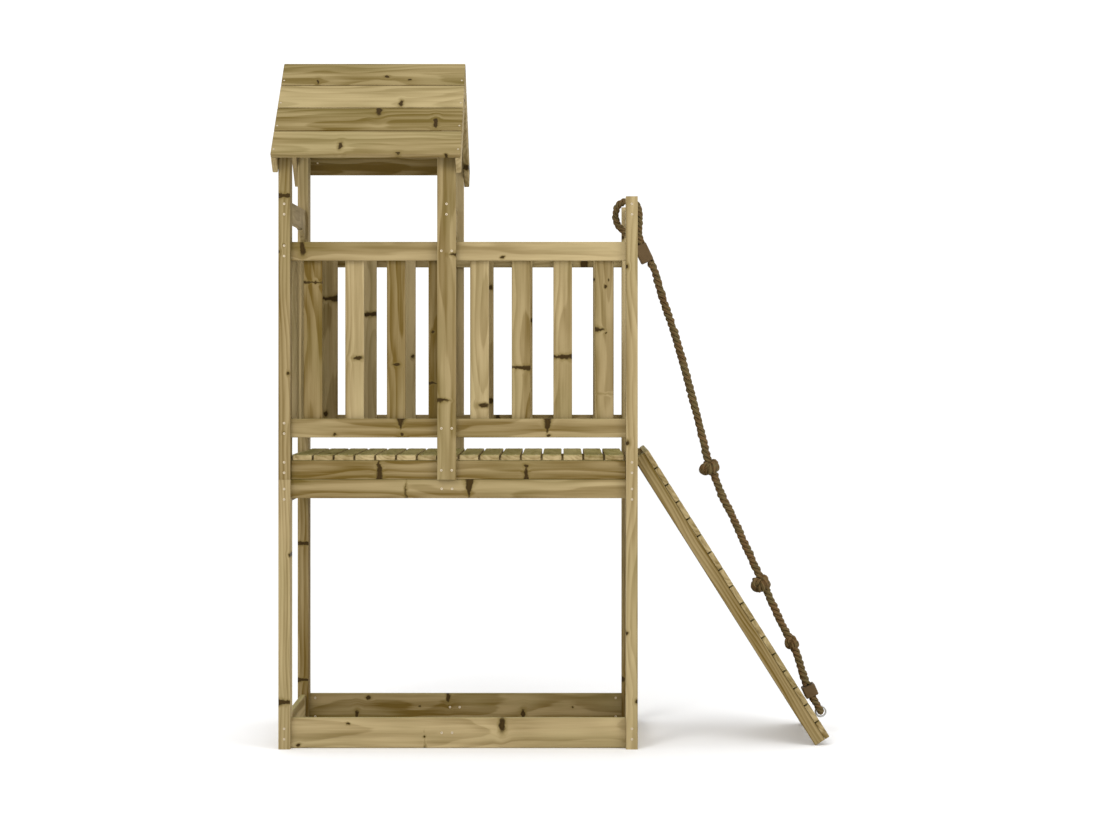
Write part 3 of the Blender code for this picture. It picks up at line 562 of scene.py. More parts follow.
# %% Shared sizes
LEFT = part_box("front_left_lower_post")[0].x
POST_WIDTH = 0.036
BOARD_WIDTH, BOARD_THICK = 0.058, 0.0165
TOWER_LENGTH = 1.105
FRONT = 0.2625
BOARD_OUTER, BOARD_INNER = 0.2425, 0.226
SPAN_LEFT, SPAN_RIGHT = LEFT + POST_WIDTH, LEFT + TOWER_LENGTH - POST_WIDTH
DECK_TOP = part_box("deck")[1].z
CONTACT = 0.0003
HERE = Matrix()
print(f"between the end posts {SPAN_RIGHT - SPAN_LEFT:.3f} m, deck {DECK_TOP:.3f} m up")

# %% [markdown]
# ## The deck
# Sixteen planks lie across two long beams, with gaps that let the rain through. A loop lays them one by one,
# so that each shows its own stretch of tree.

# %% Deck planks and beams
DECK_PLANKS = 16
DECK_TONES = ("light", "plain", "light", "pale", "light", "pale", "plain", "brown") * 2
deck_gap = (SPAN_RIGHT - SPAN_LEFT - DECK_PLANKS * BOARD_WIDTH) / (DECK_PLANKS + 1)
bm = start_panel()
for number in range(DECK_PLANKS):
    left = SPAN_LEFT + deck_gap + number * (BOARD_WIDTH + deck_gap)
    low = (left, -BOARD_OUTER, DECK_TOP - BOARD_THICK)
    add_plank(bm, low, (left + BOARD_WIDTH, BOARD_OUTER, DECK_TOP), HERE, number, DECK_TONES[number])
deck_knots = []
for number, along, across, size in (
    (1, -0.15, 0.010, 0.006), (3, 0.11, -0.012, 0.005), (6, -0.02, 0.015, 0.007), (9, 0.17, 0.000, 0.005),
    (12, -0.11, -0.016, 0.006), (15, 0.04, 0.008, 0.005),
):
    deck_knots.append(knot_at("round", TREE_STEP * number + along, across, size))
# The deck's tops get a stronger painted top light than the other boards.
finish_panel(bm, "deck_planks", panel_material("deck_planks", deck_knots, 0.45, 0.0), ["deck"])

bm = start_panel()
beam_top = DECK_TOP - BOARD_THICK - CONTACT
for side, number, tone in ((-1, 20, "dark"), (1, 21, "brown")):
    near, far = sorted((side * BOARD_OUTER, side * BOARD_INNER))
    low = (SPAN_LEFT + CONTACT, near, beam_top - BOARD_WIDTH)
    add_plank(bm, low, (SPAN_RIGHT - CONTACT, far, beam_top), HERE, number, tone)
beam_knots = [
    knot_at("wide_below", TREE_STEP * 20 - 0.244, -0.014, 0.0062, 14),
    knot_at("round", TREE_STEP * 20 - 0.245, 0.016, 0.0040),
    knot_at("wide_below", TREE_STEP * 20 + 0.209, -0.020, 0.0054, 20),
    knot_at("round", TREE_STEP * 20 + 0.209, 0.012, 0.0044),
    knot_at("round", TREE_STEP * 21 + 0.2, 0.010, 0.0060),
]
finish_panel(bm, "upper_beams", panel_material("upper_beams", beam_knots))

# %% [markdown]
# ## The roof
# Four planks and a rafter make each slope, and all of them are mitred at the ridge. The slanted ends could be
# worked out corner by corner, but a bisecting plane cuts them as a saw set to the roof's angle does.

# %% Roof slopes
ROOF_PLANKS = 4
ROOF_GAP = 0.004
ROOF_PITCH = math.radians(45)
ROOF_LEFT, ROOF_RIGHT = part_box("front_roof_slope")[0].x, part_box("front_roof_slope")[1].x
ROOF_SLOPE = (FRONT + 0.0575) / math.cos(ROOF_PITCH)
RIDGE_HEIGHT = 2.1452
# Painted shade: the two lowest rear planks take the deepest tone for the shade on their undersides below the
# eave.
ROOF_TONES = {"front": ("brown", "light", "umber", "plain"), "rear": ("plain", "brown", "deep", "deep")}

# Kind, plank, place from its middle to the right and down the slope, half thickness, and a taper if any.
ROOF_KNOTS = {
    "front": [
        ("tall", 0, -0.173, 0.04, 0.004), ("round", 0, 0.043, 0.014, 0.005),
        ("round", 0, 0.116, 0.029, 0.0034), ("tall", 1, 0.096, 0.035, 0.0052),
        ("tall", 2, 0.029, -0.0395, 0.0084), ("tall", 2, 0.207, 0.011, 0.006),
        ("tall", 2, 0.2085, 0.027, 0.0056), ("tall", 3, -0.079, 0.0165, 0.0056),
        ("round", 3, 0.099, 0.05, 0.005), ("round", 3, 0.246, 0.055, 0.0034),
    ],
    "rear": [
        ("wide_above", 0, 0.12, 0.01, 0.0044, 11), ("round", 2, -0.14, -0.02, 0.0056),
        ("wide_below", 1, 0.05, 0.02, 0.005, 9),
    ],
}


def slope_place(side):
    down = Vector((0, side * math.cos(ROOF_PITCH), -math.sin(ROOF_PITCH)))
    out = Vector((0, side * math.sin(ROOF_PITCH), math.cos(ROOF_PITCH)))
    place = Matrix((down.cross(out), down, out)).transposed().to_4x4()
    place.translation = (0, 0, RIDGE_HEIGHT)
    return place


def mitre_at_ridge(bm, side):
    everything = [*bm.verts, *bm.edges, *bm.faces]
    plane = {"plane_co": (0, side * CONTACT / 2, 0), "plane_no": (0, -side, 0)}
    cut = bmesh.ops.bisect_plane(bm, geom=everything, clear_outer=True, **plane)
    rim = [item for item in cut["geom_cut"] if isinstance(item, bmesh.types.BMEdge)]
    bmesh.ops.holes_fill(bm, edges=rim)


roof_step = (ROOF_SLOPE + ROOF_GAP) / ROOF_PLANKS
rafter_foot = -BOARD_THICK - CONTACT - BOARD_WIDTH
for side, word, first_tree in ((-1, "front", 0), (1, "rear", 10)):
    place = slope_place(side)
    near, far = sorted((side * ROOF_LEFT, side * ROOF_RIGHT))
    bm = start_panel()
    for number in range(ROOF_PLANKS):
        upper = number * roof_step
        low = (near, upper, -BOARD_THICK)
        high = (far, upper + roof_step - ROOF_GAP, 0)
        add_plank(bm, low, high, place, first_tree + number, ROOF_TONES[word][number])
    mitre_at_ridge(bm, side)
    knots = []
    for kind, number, right, *rest in ROOF_KNOTS[word]:
        knots.append(knot_at(kind, TREE_STEP * (first_tree + number) + side * right, *rest))
    material = panel_material(f"{word}_roof_planks", knots, 0.1)
    finish_panel(bm, f"{word}_roof_planks", material, [f"{word}_roof_slope"])
    bm = start_panel()
    start, end = sorted((side * ROOF_LEFT, side * (ROOF_LEFT + BOARD_THICK)))
    low, high = (start, 0, rafter_foot), (end, ROOF_SLOPE, -BOARD_THICK - CONTACT)
    add_plank(bm, low, high, place, first_tree + 8, "plain")
    mitre_at_ridge(bm, side)
    finish_panel(bm, f"{word}_left_rafter", panel_material(f"{word}_left_rafter"))

# %% [markdown]
# ## The climbing wall
# Seventeen planks are fixed on two stringers. The panel leans from the ground on the deck's end board. Every
# plank could be turned by itself, but it is easier to lay the panel out flat along its own axes and then to
# turn it into place.

# %% Climbing wall
WALL_PLANKS = 17
STRINGER_DEPTH = 0.036
WALL_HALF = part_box("climbing_wall")[1].y
WALL_TOP = Vector((LEFT + 1.09555, 0, 0.8895))
WALL_FOOT = Vector((LEFT + 1.6583, 0, 0))
up_wall = (WALL_TOP - WALL_FOOT).normalized()
off_wall = Vector((up_wall.z, 0, -up_wall.x))
wall_length = (WALL_TOP - WALL_FOOT).length
wall_place = Matrix((up_wall, off_wall.cross(up_wall), off_wall)).transposed().to_4x4()
wall_place.translation = WALL_FOOT
wall_gap = (wall_length - WALL_PLANKS * BOARD_WIDTH) / (WALL_PLANKS - 1)
draw = random.Random("wall")
wall_knots = []
bm = start_panel()
for number in range(WALL_PLANKS):
    foot = number * (BOARD_WIDTH + wall_gap)
    low = (foot, -WALL_HALF, STRINGER_DEPTH + CONTACT)
    high = (foot + BOARD_WIDTH, WALL_HALF, STRINGER_DEPTH + BOARD_THICK)
    add_plank(bm, low, high, wall_place, number, draw.choice(("plain", "plain", "brown", "brown")))
    if number % 3 != 1:
        along, across = TREE_STEP * number + draw.uniform(-0.18, 0.18), draw.uniform(-0.02, 0.02)
        wall_knots.append(knot_at(draw.choice(RANDOM_KINDS), along, across, draw.uniform(0.003, 0.006), 16))
finish_panel(bm, "wall_planks", panel_material("wall_planks", wall_knots), ["climbing_wall"])
bm = start_panel()
for side, number in ((-1, 31), (1, 32)):
    near, far = sorted((side * WALL_HALF, side * (WALL_HALF - BOARD_WIDTH)))
    add_plank(bm, (0, near, 0), (wall_length, far, STRINGER_DEPTH), wall_place, number, "dark")
stringer_knots = [
    knot_at("post_bar", TREE_STEP * 31 + 0.218, 0, 0.0046, -20),
    knot_at("post_bar", TREE_STEP * 31 - 0.236, 0, 0.0044, -45),
    knot_at("post_round", TREE_STEP * 31 - 0.218, 0.010, 0.0036),
]
finish_panel(bm, "wall_stringers", panel_material("wall_stringers", stringer_knots))

# %% [markdown]
# ## The left guard
# Three pales stand on the inner side of the left end's bottom rail. They are planks like those of the deck,
# set upright: the longest side of a plank tells the helper which way its grain runs.

# %% Left guard
guard_low, guard_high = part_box("left_guard_panel")
END_PALE_PITCH = 0.117
PALE_INSET = 0.003
rail_right = LEFT + POST_WIDTH / 2 + BOARD_THICK / 2
bm = start_panel()
for number in range(3):
    middle = (number - 1) * END_PALE_PITCH
    low = (rail_right + CONTACT, middle - BOARD_WIDTH / 2, guard_low.z + PALE_INSET)
    high = (rail_right + CONTACT + BOARD_THICK, middle + BOARD_WIDTH / 2, guard_high.z)
    # Painted light: the pales take the palest tone so that they look lit, though they stand in shade.
    add_plank(bm, low, high, HERE, number, "palest")
low = (rail_right - BOARD_THICK, guard_low.y, guard_low.z)
add_plank(bm, low, (rail_right, guard_high.y, guard_low.z + BOARD_WIDTH), HERE, 5, "plain")
finish_panel(bm, "left_guard", panel_material("left_guard", (), 0.3, 0.0), ["left_guard_panel"])

# %% [markdown]
# ## The rope's route
# The rope hangs from a loop over the bar to a loop in the eye at the wall's foot. A Bezier curve would need
# its handles set one by one, so the route is a smooth curve that runs through every point it is given. The
# points were read off the photograph, and are measured from the bar and from the eye.

# %% Route of the rope
ROPE_DIAMETER = 0.023
ROPE_FROM_BAR = [
    (0.0837, -0.1856), (0.1035, -0.2560), (0.1281, -0.3286), (0.1502, -0.3949), (0.1715, -0.4700),
    (0.1873, -0.5292), (0.2087, -0.6092), (0.2240, -0.6700), (0.2400, -0.7350), (0.2500, -0.7760),
    (0.2615, -0.8070), (0.2740, -0.8370), (0.2859, -0.8700), (0.3000, -0.9030), (0.3199, -0.9430),
    (0.3476, -1.0024), (0.3796, -1.0734), (0.4110, -1.1430), (0.4270, -1.1790), (0.4430, -1.2090),
    (0.4620, -1.2520), (0.4850, -1.3026), (0.5040, -1.3380), (0.5200, -1.3690), (0.5340, -1.3970),
    (0.5445, -1.4294),
]
KNOT_PLACES = [(0.2615, -0.8070), (0.4270, -1.1790), (0.5200, -1.3690)]
TOP_LOOP = [
    (0.0318, -0.0075, -0.0640), (0.0312, -0.0070, -0.0420), (0.0314, -0.0060, -0.0180),
    (0.0315, -0.0050, 0.0070), (0.0205, -0.0030, 0.0336), (-0.0060, 0.0000, 0.0447),
    (-0.0325, 0.0030, 0.0336), (-0.0435, 0.0050, 0.0070), (-0.0425, 0.0060, -0.0130),
    (-0.0350, 0.0070, -0.0340), (-0.0136, 0.0075, -0.0560), (0.0070, 0.0075, -0.0730),
]
EYE_RING_RADIUS = 0.0165
EYE_WIRE = 0.006
UPPER_SLEEVE, LOWER_SLEEVE = (0.042, 0.040, 0.061), (0.043, 0.050, 0.038)
UPPER_LEAN, LOWER_LEAN = math.radians(25.8), math.radians(24)
UPPER_SLEEVE_FROM_BAR, LOWER_SLEEVE_FROM_EYE = (0.0457, 0, -0.1231), (-0.0353, 0, 0.0671)
LAST_BEND_FROM_EYE = (-0.0580, 0, 0.1210)
EXIT_SIDE, STRAND_ACROSS, STRAND_FORE, FOOT_STRAND_FORE = 0.008, 0.009, 0.0075, 0.0125
SQUARE_RUN = 0.010

bar = sum(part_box("rope_bar"), Vector()) / 2
eye_reach = EYE_RING_RADIUS + EYE_WIRE / 2
eye_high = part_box("eye_bolt")[1]
eye = Vector((eye_high.x - eye_reach, 0, eye_high.z - eye_reach))
upper_sleeve = bar + Vector(UPPER_SLEEVE_FROM_BAR)
lower_sleeve = eye + Vector(LOWER_SLEEVE_FROM_EYE)
print("bar", bar, "eye", eye)


def smooth_curve(points, slices=16):
    """A fine curve through all the points, with the length run at each."""
    padded = [2 * points[0] - points[1], *points, 2 * points[-1] - points[-2]]
    fine = []
    for start in range(len(points) - 1):
        a, b, c, d = padded[start : start + 4]
        for number in range(slices):
            t = number / slices
            bend = 2 * b + (c - a) * t + (2 * a - 5 * b + 4 * c - d) * t**2
            fine.append((bend + (3 * b - a - 3 * c + d) * t**3) / 2)
    fine.append(points[-1])
    runs = [0.0]
    for first, second in zip(fine, fine[1:]):
        runs.append(runs[-1] + (second - first).length)
    return fine, runs


def even_points(curve, step):
    """Points at even lengths along a fine curve."""
    fine, runs = curve
    count = max(2, round(runs[-1] / step))
    points, place = [], 1
    for number in range(count + 1):
        wanted = runs[-1] * number / count
        while place < len(fine) - 1 and runs[place] < wanted:
            place += 1
        share = (wanted - runs[place - 1]) / (runs[place] - runs[place - 1])
        points.append(fine[place - 1].lerp(fine[place], share))
    return points


def sleeve_axes(lean):
    up = Vector((-math.sin(lean), 0, math.cos(lean)))
    return up, Vector((math.cos(lean), 0, math.sin(lean)))


# %% [markdown]
# ## Three twisted strands
# A laid rope is three strands that turn round each other. One tube with a twisted bump would have a straight
# outline, so each strand here is a tube of its own whose middle line winds round the rope's route. Every ring
# of the tube knows how far along the strand and how far round it lies, and the fibres of the material follow
# these two values.

# %% Laying a rope
STRAND_SIDES = 20
RING_STEP, TIGHT_STEP = 0.003, 0.002
YARNS = 5
YARN_SKEW = 38.0
YARN_RELIEF = 0.07
FRAY = 0.20
FRAY_SCALE = 230.0
UNEVEN = 0.22
LOOSE = 0.94
UNEVEN_SCALE = 48.0


def steady_frames(points):
    """A forward direction and a cross direction at each point, which turns as little as it can."""
    ways = []
    for number in range(len(points)):
        ways.append((points[min(number + 1, len(points) - 1)] - points[max(number - 1, 0)]).normalized())
    cross = ways[0].orthogonal().normalized()
    frames = []
    for number, way in enumerate(ways):
        if number:
            cross = ways[number - 1].rotation_difference(way) @ cross
        cross = (cross - way * cross.dot(way)).normalized()
        frames.append((way, cross, way.cross(cross)))
    return frames


def strand_line(points, frames, offset, pitch, start_angle, fullness):
    line, run = [], 0.0
    for number, (point, (_, cross, side)) in enumerate(zip(points, frames)):
        if number:
            run += (point - points[number - 1]).length
        angle = start_angle - 2 * math.pi * run / pitch
        line.append(point + (cross * math.cos(angle) + side * math.sin(angle)) * offset * fullness[number])
    return line


def frayed(point, way, radius, run, turn):
    """A point of a strand's surface, raised where a yarn lies and a little at random."""
    yarn = math.sin(2 * math.pi * (YARN_SKEW * run + YARNS * turn))
    fray = noise.noise((point + way * radius) * FRAY_SCALE)
    return point + way * radius * (1 + YARN_RELIEF * yarn + FRAY * fray)


def add_tube(bm, line, radius, sides, fullness):
    """A closed tube along a line, with its length and its turn as texture coordinates."""
    uv = bm.loops.layers.uv.verify()
    frames = steady_frames(line)
    rings, runs, run = [], [], 0.0
    for number, (point, (_, cross, side)) in enumerate(zip(line, frames)):
        if number:
            run += (point - line[number - 1]).length
        ring = []
        for place in range(sides):
            angle = 2 * math.pi * place / sides
            way = cross * math.cos(angle) + side * math.sin(angle)
            ring.append(bm.verts.new(frayed(point, way, radius * fullness[number], run, place / sides)))
        rings.append(ring)
        runs.append(run)
    for number in range(len(rings) - 1):
        for place in range(sides):
            here, after = rings[number], rings[number + 1]
            following = (place + 1) % sides
            face = bm.faces.new((here[place], here[following], after[following], after[place]))
            face.smooth = True
            for loop, (along, turn) in zip(face.loops, ((0, 0), (0, 1), (1, 1), (1, 0))):
                loop[uv].uv = (runs[number + along], (place + turn) / sides)
    bm.faces.new(rings[0][::-1])
    bm.faces.new(rings[-1])


def laid_rope(name, node, route, diameter, pitch, step=RING_STEP):
    """Three strands along a route. Each is a little thicker in one place than in another."""
    points = even_points(smooth_curve(route), step)
    frames = steady_frames(points)
    strand = LOOSE * diameter / 2 / (1 + 2 / math.sqrt(3))
    offset = diameter / 2 - strand
    bm = bmesh.new()
    for number in range(3):
        fullness = []
        for place in range(len(points)):
            spot = Vector((place * step * UNEVEN_SCALE, 7.3 * number, 40 * diameter))
            fullness.append(1 + UNEVEN * noise.noise(spot))
        line = strand_line(points, frames, offset, pitch, 2 * math.pi * number / 3, fullness)
        add_tube(bm, line, strand, STRAND_SIDES, fullness)
    bmesh.ops.recalc_face_normals(bm, faces=bm.faces)
    piece = place_mesh(bm, name, rope_material)
    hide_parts(node)
    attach(piece, "root")
    run = sum((second - first).length for first, second in zip(points, points[1:]))
    print(f"{name}: {run:.3f} m, {len(piece.data.polygons)} faces")
    return piece, points, run


# %% [markdown]
# ## The rope's fibres
# The strands are spun from brown yarn. Single hairs would cost far more than they show, so stripes that run
# slightly askew along each strand are the yarns, and a fine noise that is stretched along them is the fibre.
# Both are raised as well as coloured.

# %% Rope material
ROPE_LIGHT = (0.205, 0.121, 0.048, 1)
ROPE_OLIVE = (0.180, 0.138, 0.056, 1)
ROPE_DARK = (0.045, 0.026, 0.009, 1)
ROPE_GLOSS = 0.12
YARN_DEPTH = 0.0007
YARN_SHARE, FLUFF_SHARE, PATCH_SHARE = 0.38, 0.75, 0.5


def make_rope_material(name):
    made, tree, shader = new_material(name)
    uv = add_node(tree, "TexCoord", {}).outputs["UV"]
    along, turn, _ = add_node(tree, "SeparateXYZ", {0: uv}).outputs
    around = weighted(tree, turn, 2 * math.pi)
    turns = weighted(tree, along, 2 * math.pi * YARN_SKEW, weighted(tree, around, YARNS))
    yarn = weighted(tree, sum_of(tree, "SINE", turns), 0.5, 0.5)
    sine, cosine = sum_of(tree, "SINE", around), sum_of(tree, "COSINE", around)
    ring = add_node(tree, "CombineXYZ", {0: along, 1: sine, 2: cosine}).outputs[0]
    fibre = noise_of(tree, stretched(tree, ring, (90.0, 7.0, 7.0)), 1.0, 4.0, 0.65)
    place = object_place(tree)
    tone = weighted(tree, yarn, YARN_SHARE, weighted(tree, fibre, FLUFF_SHARE, -0.32))
    tone = weighted(tree, noise_of(tree, place, 28.0), PATCH_SHARE, tone)
    tone = add_node(tree, "Clamp", {0: tone}).outputs[0]
    hue = step_between(tree, noise_of(tree, place, 45.0, 1.0), 0.35, 0.62)
    colour = mix_colours(tree, tone, ROPE_DARK, mix_colours(tree, hue, ROPE_LIGHT, ROPE_OLIVE))
    rough, height = weighted(tree, fibre, 0.2, 0.72), weighted(tree, fibre, 0.6, yarn)
    finish_shader(tree, shader, colour, rough, ROPE_GLOSS, height, YARN_DEPTH, 0.8)
    return made


rope_material = make_rope_material("brown_rope")
print("rope material:", len(rope_material.node_tree.nodes), "nodes")

# %% [markdown]
# ## The hanging rope
# One rope hangs between the two moulded sleeves. A simulated rope would find a way of its own, so this one is
# laid on the route from the photograph. It leaves the upper sleeve square to its mouth, as a rope held in a
# clamp does.

# %% Hanging rope
LAY_PITCH = 0.055
LOOP_PITCH = 0.045
FULL_LAY = 1.13

up, across = sleeve_axes(UPPER_LEAN)
exit_point = upper_sleeve - up * (UPPER_SLEEVE[2] / 2 + CONTACT) + across * EXIT_SIDE
foot_up, _ = sleeve_axes(LOWER_LEAN)
entry = lower_sleeve + foot_up * (LOWER_SLEEVE[2] / 2 + CONTACT)
route = [exit_point, exit_point - up * SQUARE_RUN]
route += [bar + Vector((x, 0, z)) for x, z in ROPE_FROM_BAR]
route += [eye + Vector(LAST_BEND_FROM_EYE), entry + foot_up * SQUARE_RUN, entry]
full = ROPE_DIAMETER * FULL_LAY
rope, rope_points, rope_length = laid_rope("hanging_rope", "climbing_rope", route, full, LAY_PITCH)

# %% [markdown]
# ## The knots
# Three knots give the hands a hold. A knot tied in one line would need its own route through itself, and its
# strands would run into each other. So each knot is a short rope that is wound round the long one and swings
# in and out, and it looks drawn tight.

# %% Knots
# How far the knot sits left of the rope, its radius, its swing outwards and upwards, its strand's thickness.
KNOT_SHAPES = (
    (0.005, 0.0170, 0.0060, 0.0095, 0.0265),
    (0.008, 0.0150, 0.0060, 0.0130, 0.0265),
    (0.000, 0.0095, 0.0050, 0.0140, 0.0190),
)
KNOT_ROUNDS, KNOT_SWINGS = 2, 3
KNOT_STEPS, KNOT_OVERLAP, KNOT_REACH = 72, 3, 10


def wound_knot(middle, along, radius, outwards, upwards):
    """A strand that goes twice round the rope while it swings in and out three times."""
    fore = Vector((0, 1, 0))
    side = fore.cross(along)
    winding = []
    for place in range(KNOT_STEPS + KNOT_OVERLAP):
        turn = 2 * math.pi * KNOT_ROUNDS * place / KNOT_STEPS
        swing = 2 * math.pi * KNOT_SWINGS * place / KNOT_STEPS
        out = -side * math.cos(turn) - fore * math.sin(turn)
        lift = along * upwards * math.sin(swing)
        winding.append(middle + out * (radius + outwards * math.cos(swing)) + lift)
    return winding


knots = []
for number, ((x, z), shape) in enumerate(zip(KNOT_PLACES, KNOT_SHAPES), 1):
    left, radius, outwards, upwards, strand = shape
    wanted = bar + Vector((x, 0, z))
    nearest = min(range(len(rope_points)), key=lambda place: (rope_points[place] - wanted).length)
    upper, lower = rope_points[nearest - KNOT_REACH], rope_points[nearest + KNOT_REACH]
    middle = (upper + lower) / 2 - Vector((left, 0, 0))
    winding = wound_knot(middle, (upper - lower).normalized(), radius, outwards, upwards)
    made = laid_rope(f"knot_{number}", f"rope_knot_{number}", winding, strand, LOOP_PITCH, TIGHT_STEP)
    knots.append(made[0])

# %% [markdown]
# ## The two loops
# The rope's upper end goes over the bar and back into its sleeve, and its lower end goes through the eye.
# Both are short lengths of the same laid rope. The upper one follows points from the photograph, and the
# lower one is half a circle round the eye's wire.

# %% Loop over the bar
top = upper_sleeve + up * (UPPER_SLEEVE[2] / 2 + CONTACT)
offset = across * STRAND_ACROSS - Vector((0, STRAND_FORE, 0))
loop_route = [top + offset, top + offset + up * SQUARE_RUN]
loop_route += [bar + Vector(point) for point in TOP_LOOP]
loop_route += [top - offset + up * SQUARE_RUN, top - offset]
loop = laid_rope("loop_over_bar", "rope_top_loop", loop_route, ROPE_DIAMETER, LOOP_PITCH)

# %% Loop in the eye
BEND_STEPS = 14

bottom = lower_sleeve - foot_up * (LOWER_SLEEVE[2] / 2 + CONTACT)
pull = (bottom - eye).normalized()
wire_point = eye + pull * EYE_RING_RADIUS
bend = (EYE_WIRE + ROPE_DIAMETER) / 2 + 2 * CONTACT
fore = Vector((0, 1, 0))
end_route = [bottom - fore * FOOT_STRAND_FORE, bottom - fore * FOOT_STRAND_FORE - foot_up * SQUARE_RUN]
for number in range(BEND_STEPS + 1):
    angle = math.pi * (number / BEND_STEPS - 0.5)
    end_route.append(wire_point + fore * bend * math.sin(angle) - pull * bend * math.cos(angle))
end_route += [bottom + fore * FOOT_STRAND_FORE - foot_up * SQUARE_RUN, bottom + fore * FOOT_STRAND_FORE]
end_loop = laid_rope("loop_in_eye", "rope_end_loop", end_route, ROPE_DIAMETER, LOOP_PITCH, TIGHT_STEP)[0]

# %% [markdown]
# ## The moulded sleeves
# A sleeve is a block of brown plastic with rounded edges and an open mouth at each end for the rope. A
# bevelled box with an inset at both ends is enough, since the rope fills the mouths.

# %% Sleeves
SLEEVE_DARK = (0.084, 0.050, 0.018, 1)
SLEEVE_LIGHT = (0.112, 0.069, 0.027, 1)
SLEEVE_GLOSS = 0.2
GRIT_DEPTH = 0.0002
SLEEVE_ROUND, MOUTH_RIM, MOUTH_SLANT, MOUTH_DEPTH = 0.005, 0.0025, 0.0008, 0.004


def make_sleeve_material(name):
    made, tree, shader = new_material(name)
    grit = noise_of(tree, object_place(tree), 900.0, 3.0)
    patches = noise_of(tree, object_place(tree), 55.0)
    colour = mix_colours(tree, patches, SLEEVE_DARK, SLEEVE_LIGHT)
    finish_shader(tree, shader, colour, weighted(tree, grit, 0.2, 0.42), SLEEVE_GLOSS, grit, GRIT_DEPTH, 0.5)
    return made


def build_sleeve(name, size, middle, lean, node):
    up, across = sleeve_axes(lean)
    place = Matrix((across, Vector((0, 1, 0)), up)).transposed().to_4x4()
    place.translation = middle
    bm = bmesh.new()
    bmesh.ops.create_cube(bm, size=1, matrix=Matrix.Diagonal((*size, 1)))
    rounding = {"offset": SLEEVE_ROUND, "segments": 4, "profile": 0.5, "affect": "EDGES", "material": -1}
    bmesh.ops.bevel(bm, geom=bm.edges[:], **rounding)
    ends = [face for face in bm.faces if abs(face.normal.z) > 0.999 and face.calc_area() > 0.0004]
    for end in ends:
        bmesh.ops.inset_region(bm, faces=[end], thickness=MOUTH_RIM, depth=0)
        bmesh.ops.inset_region(bm, faces=[end], thickness=MOUTH_SLANT, depth=-MOUTH_DEPTH)
    bmesh.ops.transform(bm, matrix=place, verts=bm.verts)
    return finish_panel(bm, name, sleeve_material, [node])


sleeve_material = make_sleeve_material("brown_plastic")
upper = build_sleeve("upper_sleeve", UPPER_SLEEVE, upper_sleeve, UPPER_LEAN, "rope_sleeve_upper")
lower = build_sleeve("lower_sleeve", LOWER_SLEEVE, lower_sleeve, LOWER_LEAN, "rope_sleeve_lower")

# %% [markdown]

# %% [markdown]
# ## The eye bolt
# A ring of galvanised wire stands on a short shank with a collar, screwed into the lowest plank. Both are
# round, so a circle and a half profile are spun, the first round the ring's axis and the second round the
# shank's.

# %% Eye bolt
STEEL_DARK, STEEL_LIGHT = (0.42, 0.43, 0.43, 1), (0.68, 0.68, 0.66, 1)

# Radius and depth below the ring's middle, from the top of the shank down to the foot of the collar.
SHANK_PROFILE = (
    (0.0, 0.0160), (0.0030, 0.0160), (0.0030, 0.0198), (0.0085, 0.0198), (0.0090, 0.0202), (0.0090, 0.0212),
    (0.0, 0.0212),
)


def make_steel_material(name, dark, light, metallic, spots, rough):
    """Zinc-coated steel whose colour and gloss differ from spot to spot."""
    made, tree, shader = new_material(name)
    spangle = noise_of(tree, object_place(tree), *spots)
    colour = mix_colours(tree, spangle, dark, light)
    finish_shader(tree, shader, colour, weighted(tree, spangle, *rough))
    shader.inputs["Metallic"].default_value = metallic
    return made


def build_eye(material):
    bm = bmesh.new()
    outside = Matrix.Translation((EYE_RING_RADIUS, 0, 0))
    section = bmesh.ops.create_circle(bm, segments=16, radius=EYE_WIRE / 2, matrix=outside)
    rim = {edge for vert in section["verts"] for edge in vert.link_edges}
    whole_turn = {"cent": (0, 0, 0), "angle": 2 * math.pi, "use_merge": True}
    bmesh.ops.spin(bm, geom=[*section["verts"], *rim], axis=(0, 1, 0), steps=48, **whole_turn)
    ring = list(bm.verts)
    corners = [bm.verts.new((radius, 0, -depth)) for radius, depth in SHANK_PROFILE]
    edges = [bm.edges.new(pair) for pair in zip(corners, corners[1:])]
    bmesh.ops.spin(bm, geom=[*corners, *edges], axis=(0, 0, 1), steps=32, **whole_turn)
    shank = [vert for vert in bm.verts if vert not in set(ring)]
    bmesh.ops.remove_doubles(bm, verts=shank, dist=0.00002)
    shank = [vert for vert in bm.verts if vert not in set(ring)]
    bmesh.ops.transform(bm, matrix=off_wall.to_track_quat("Z", "Y").to_matrix().to_4x4(), verts=shank)
    bmesh.ops.translate(bm, verts=bm.verts, vec=eye)
    return finish_panel(bm, "eye_ring", material, ["eye_bolt"])


build_eye(make_steel_material("galvanised_steel", STEEL_DARK, STEEL_LIGHT, 1.0, (260.0, 3.0), (0.25, 0.24)))

# %% [markdown]
# ## Screw heads
# Countersunk screws hold every joint. They could be drawn into the wood's colour, but real discs catch the
# light from any side. A head is a flat disc with a bevelled rim and a recess sunk into it, set again and
# again and turned each time as a driver leaves it.

# %% A screw head
HEAD_RADIUS, SMALL_HEAD = 0.004, 0.0034
HEAD_RISE, RECESS_DEPTH = 0.0006, 0.0011

# The head's upper face, the flat ring round its recess and the recess's floor, as shares of what they are in.
HEAD_TOP, RECESS_RING, RECESS_FLOOR = 0.86, 0.42, 0.5
SCREW_DARK, SCREW_LIGHT = (0.44, 0.36, 0.25, 1), (0.70, 0.59, 0.42, 1)
screw_turns = random.Random("screws")


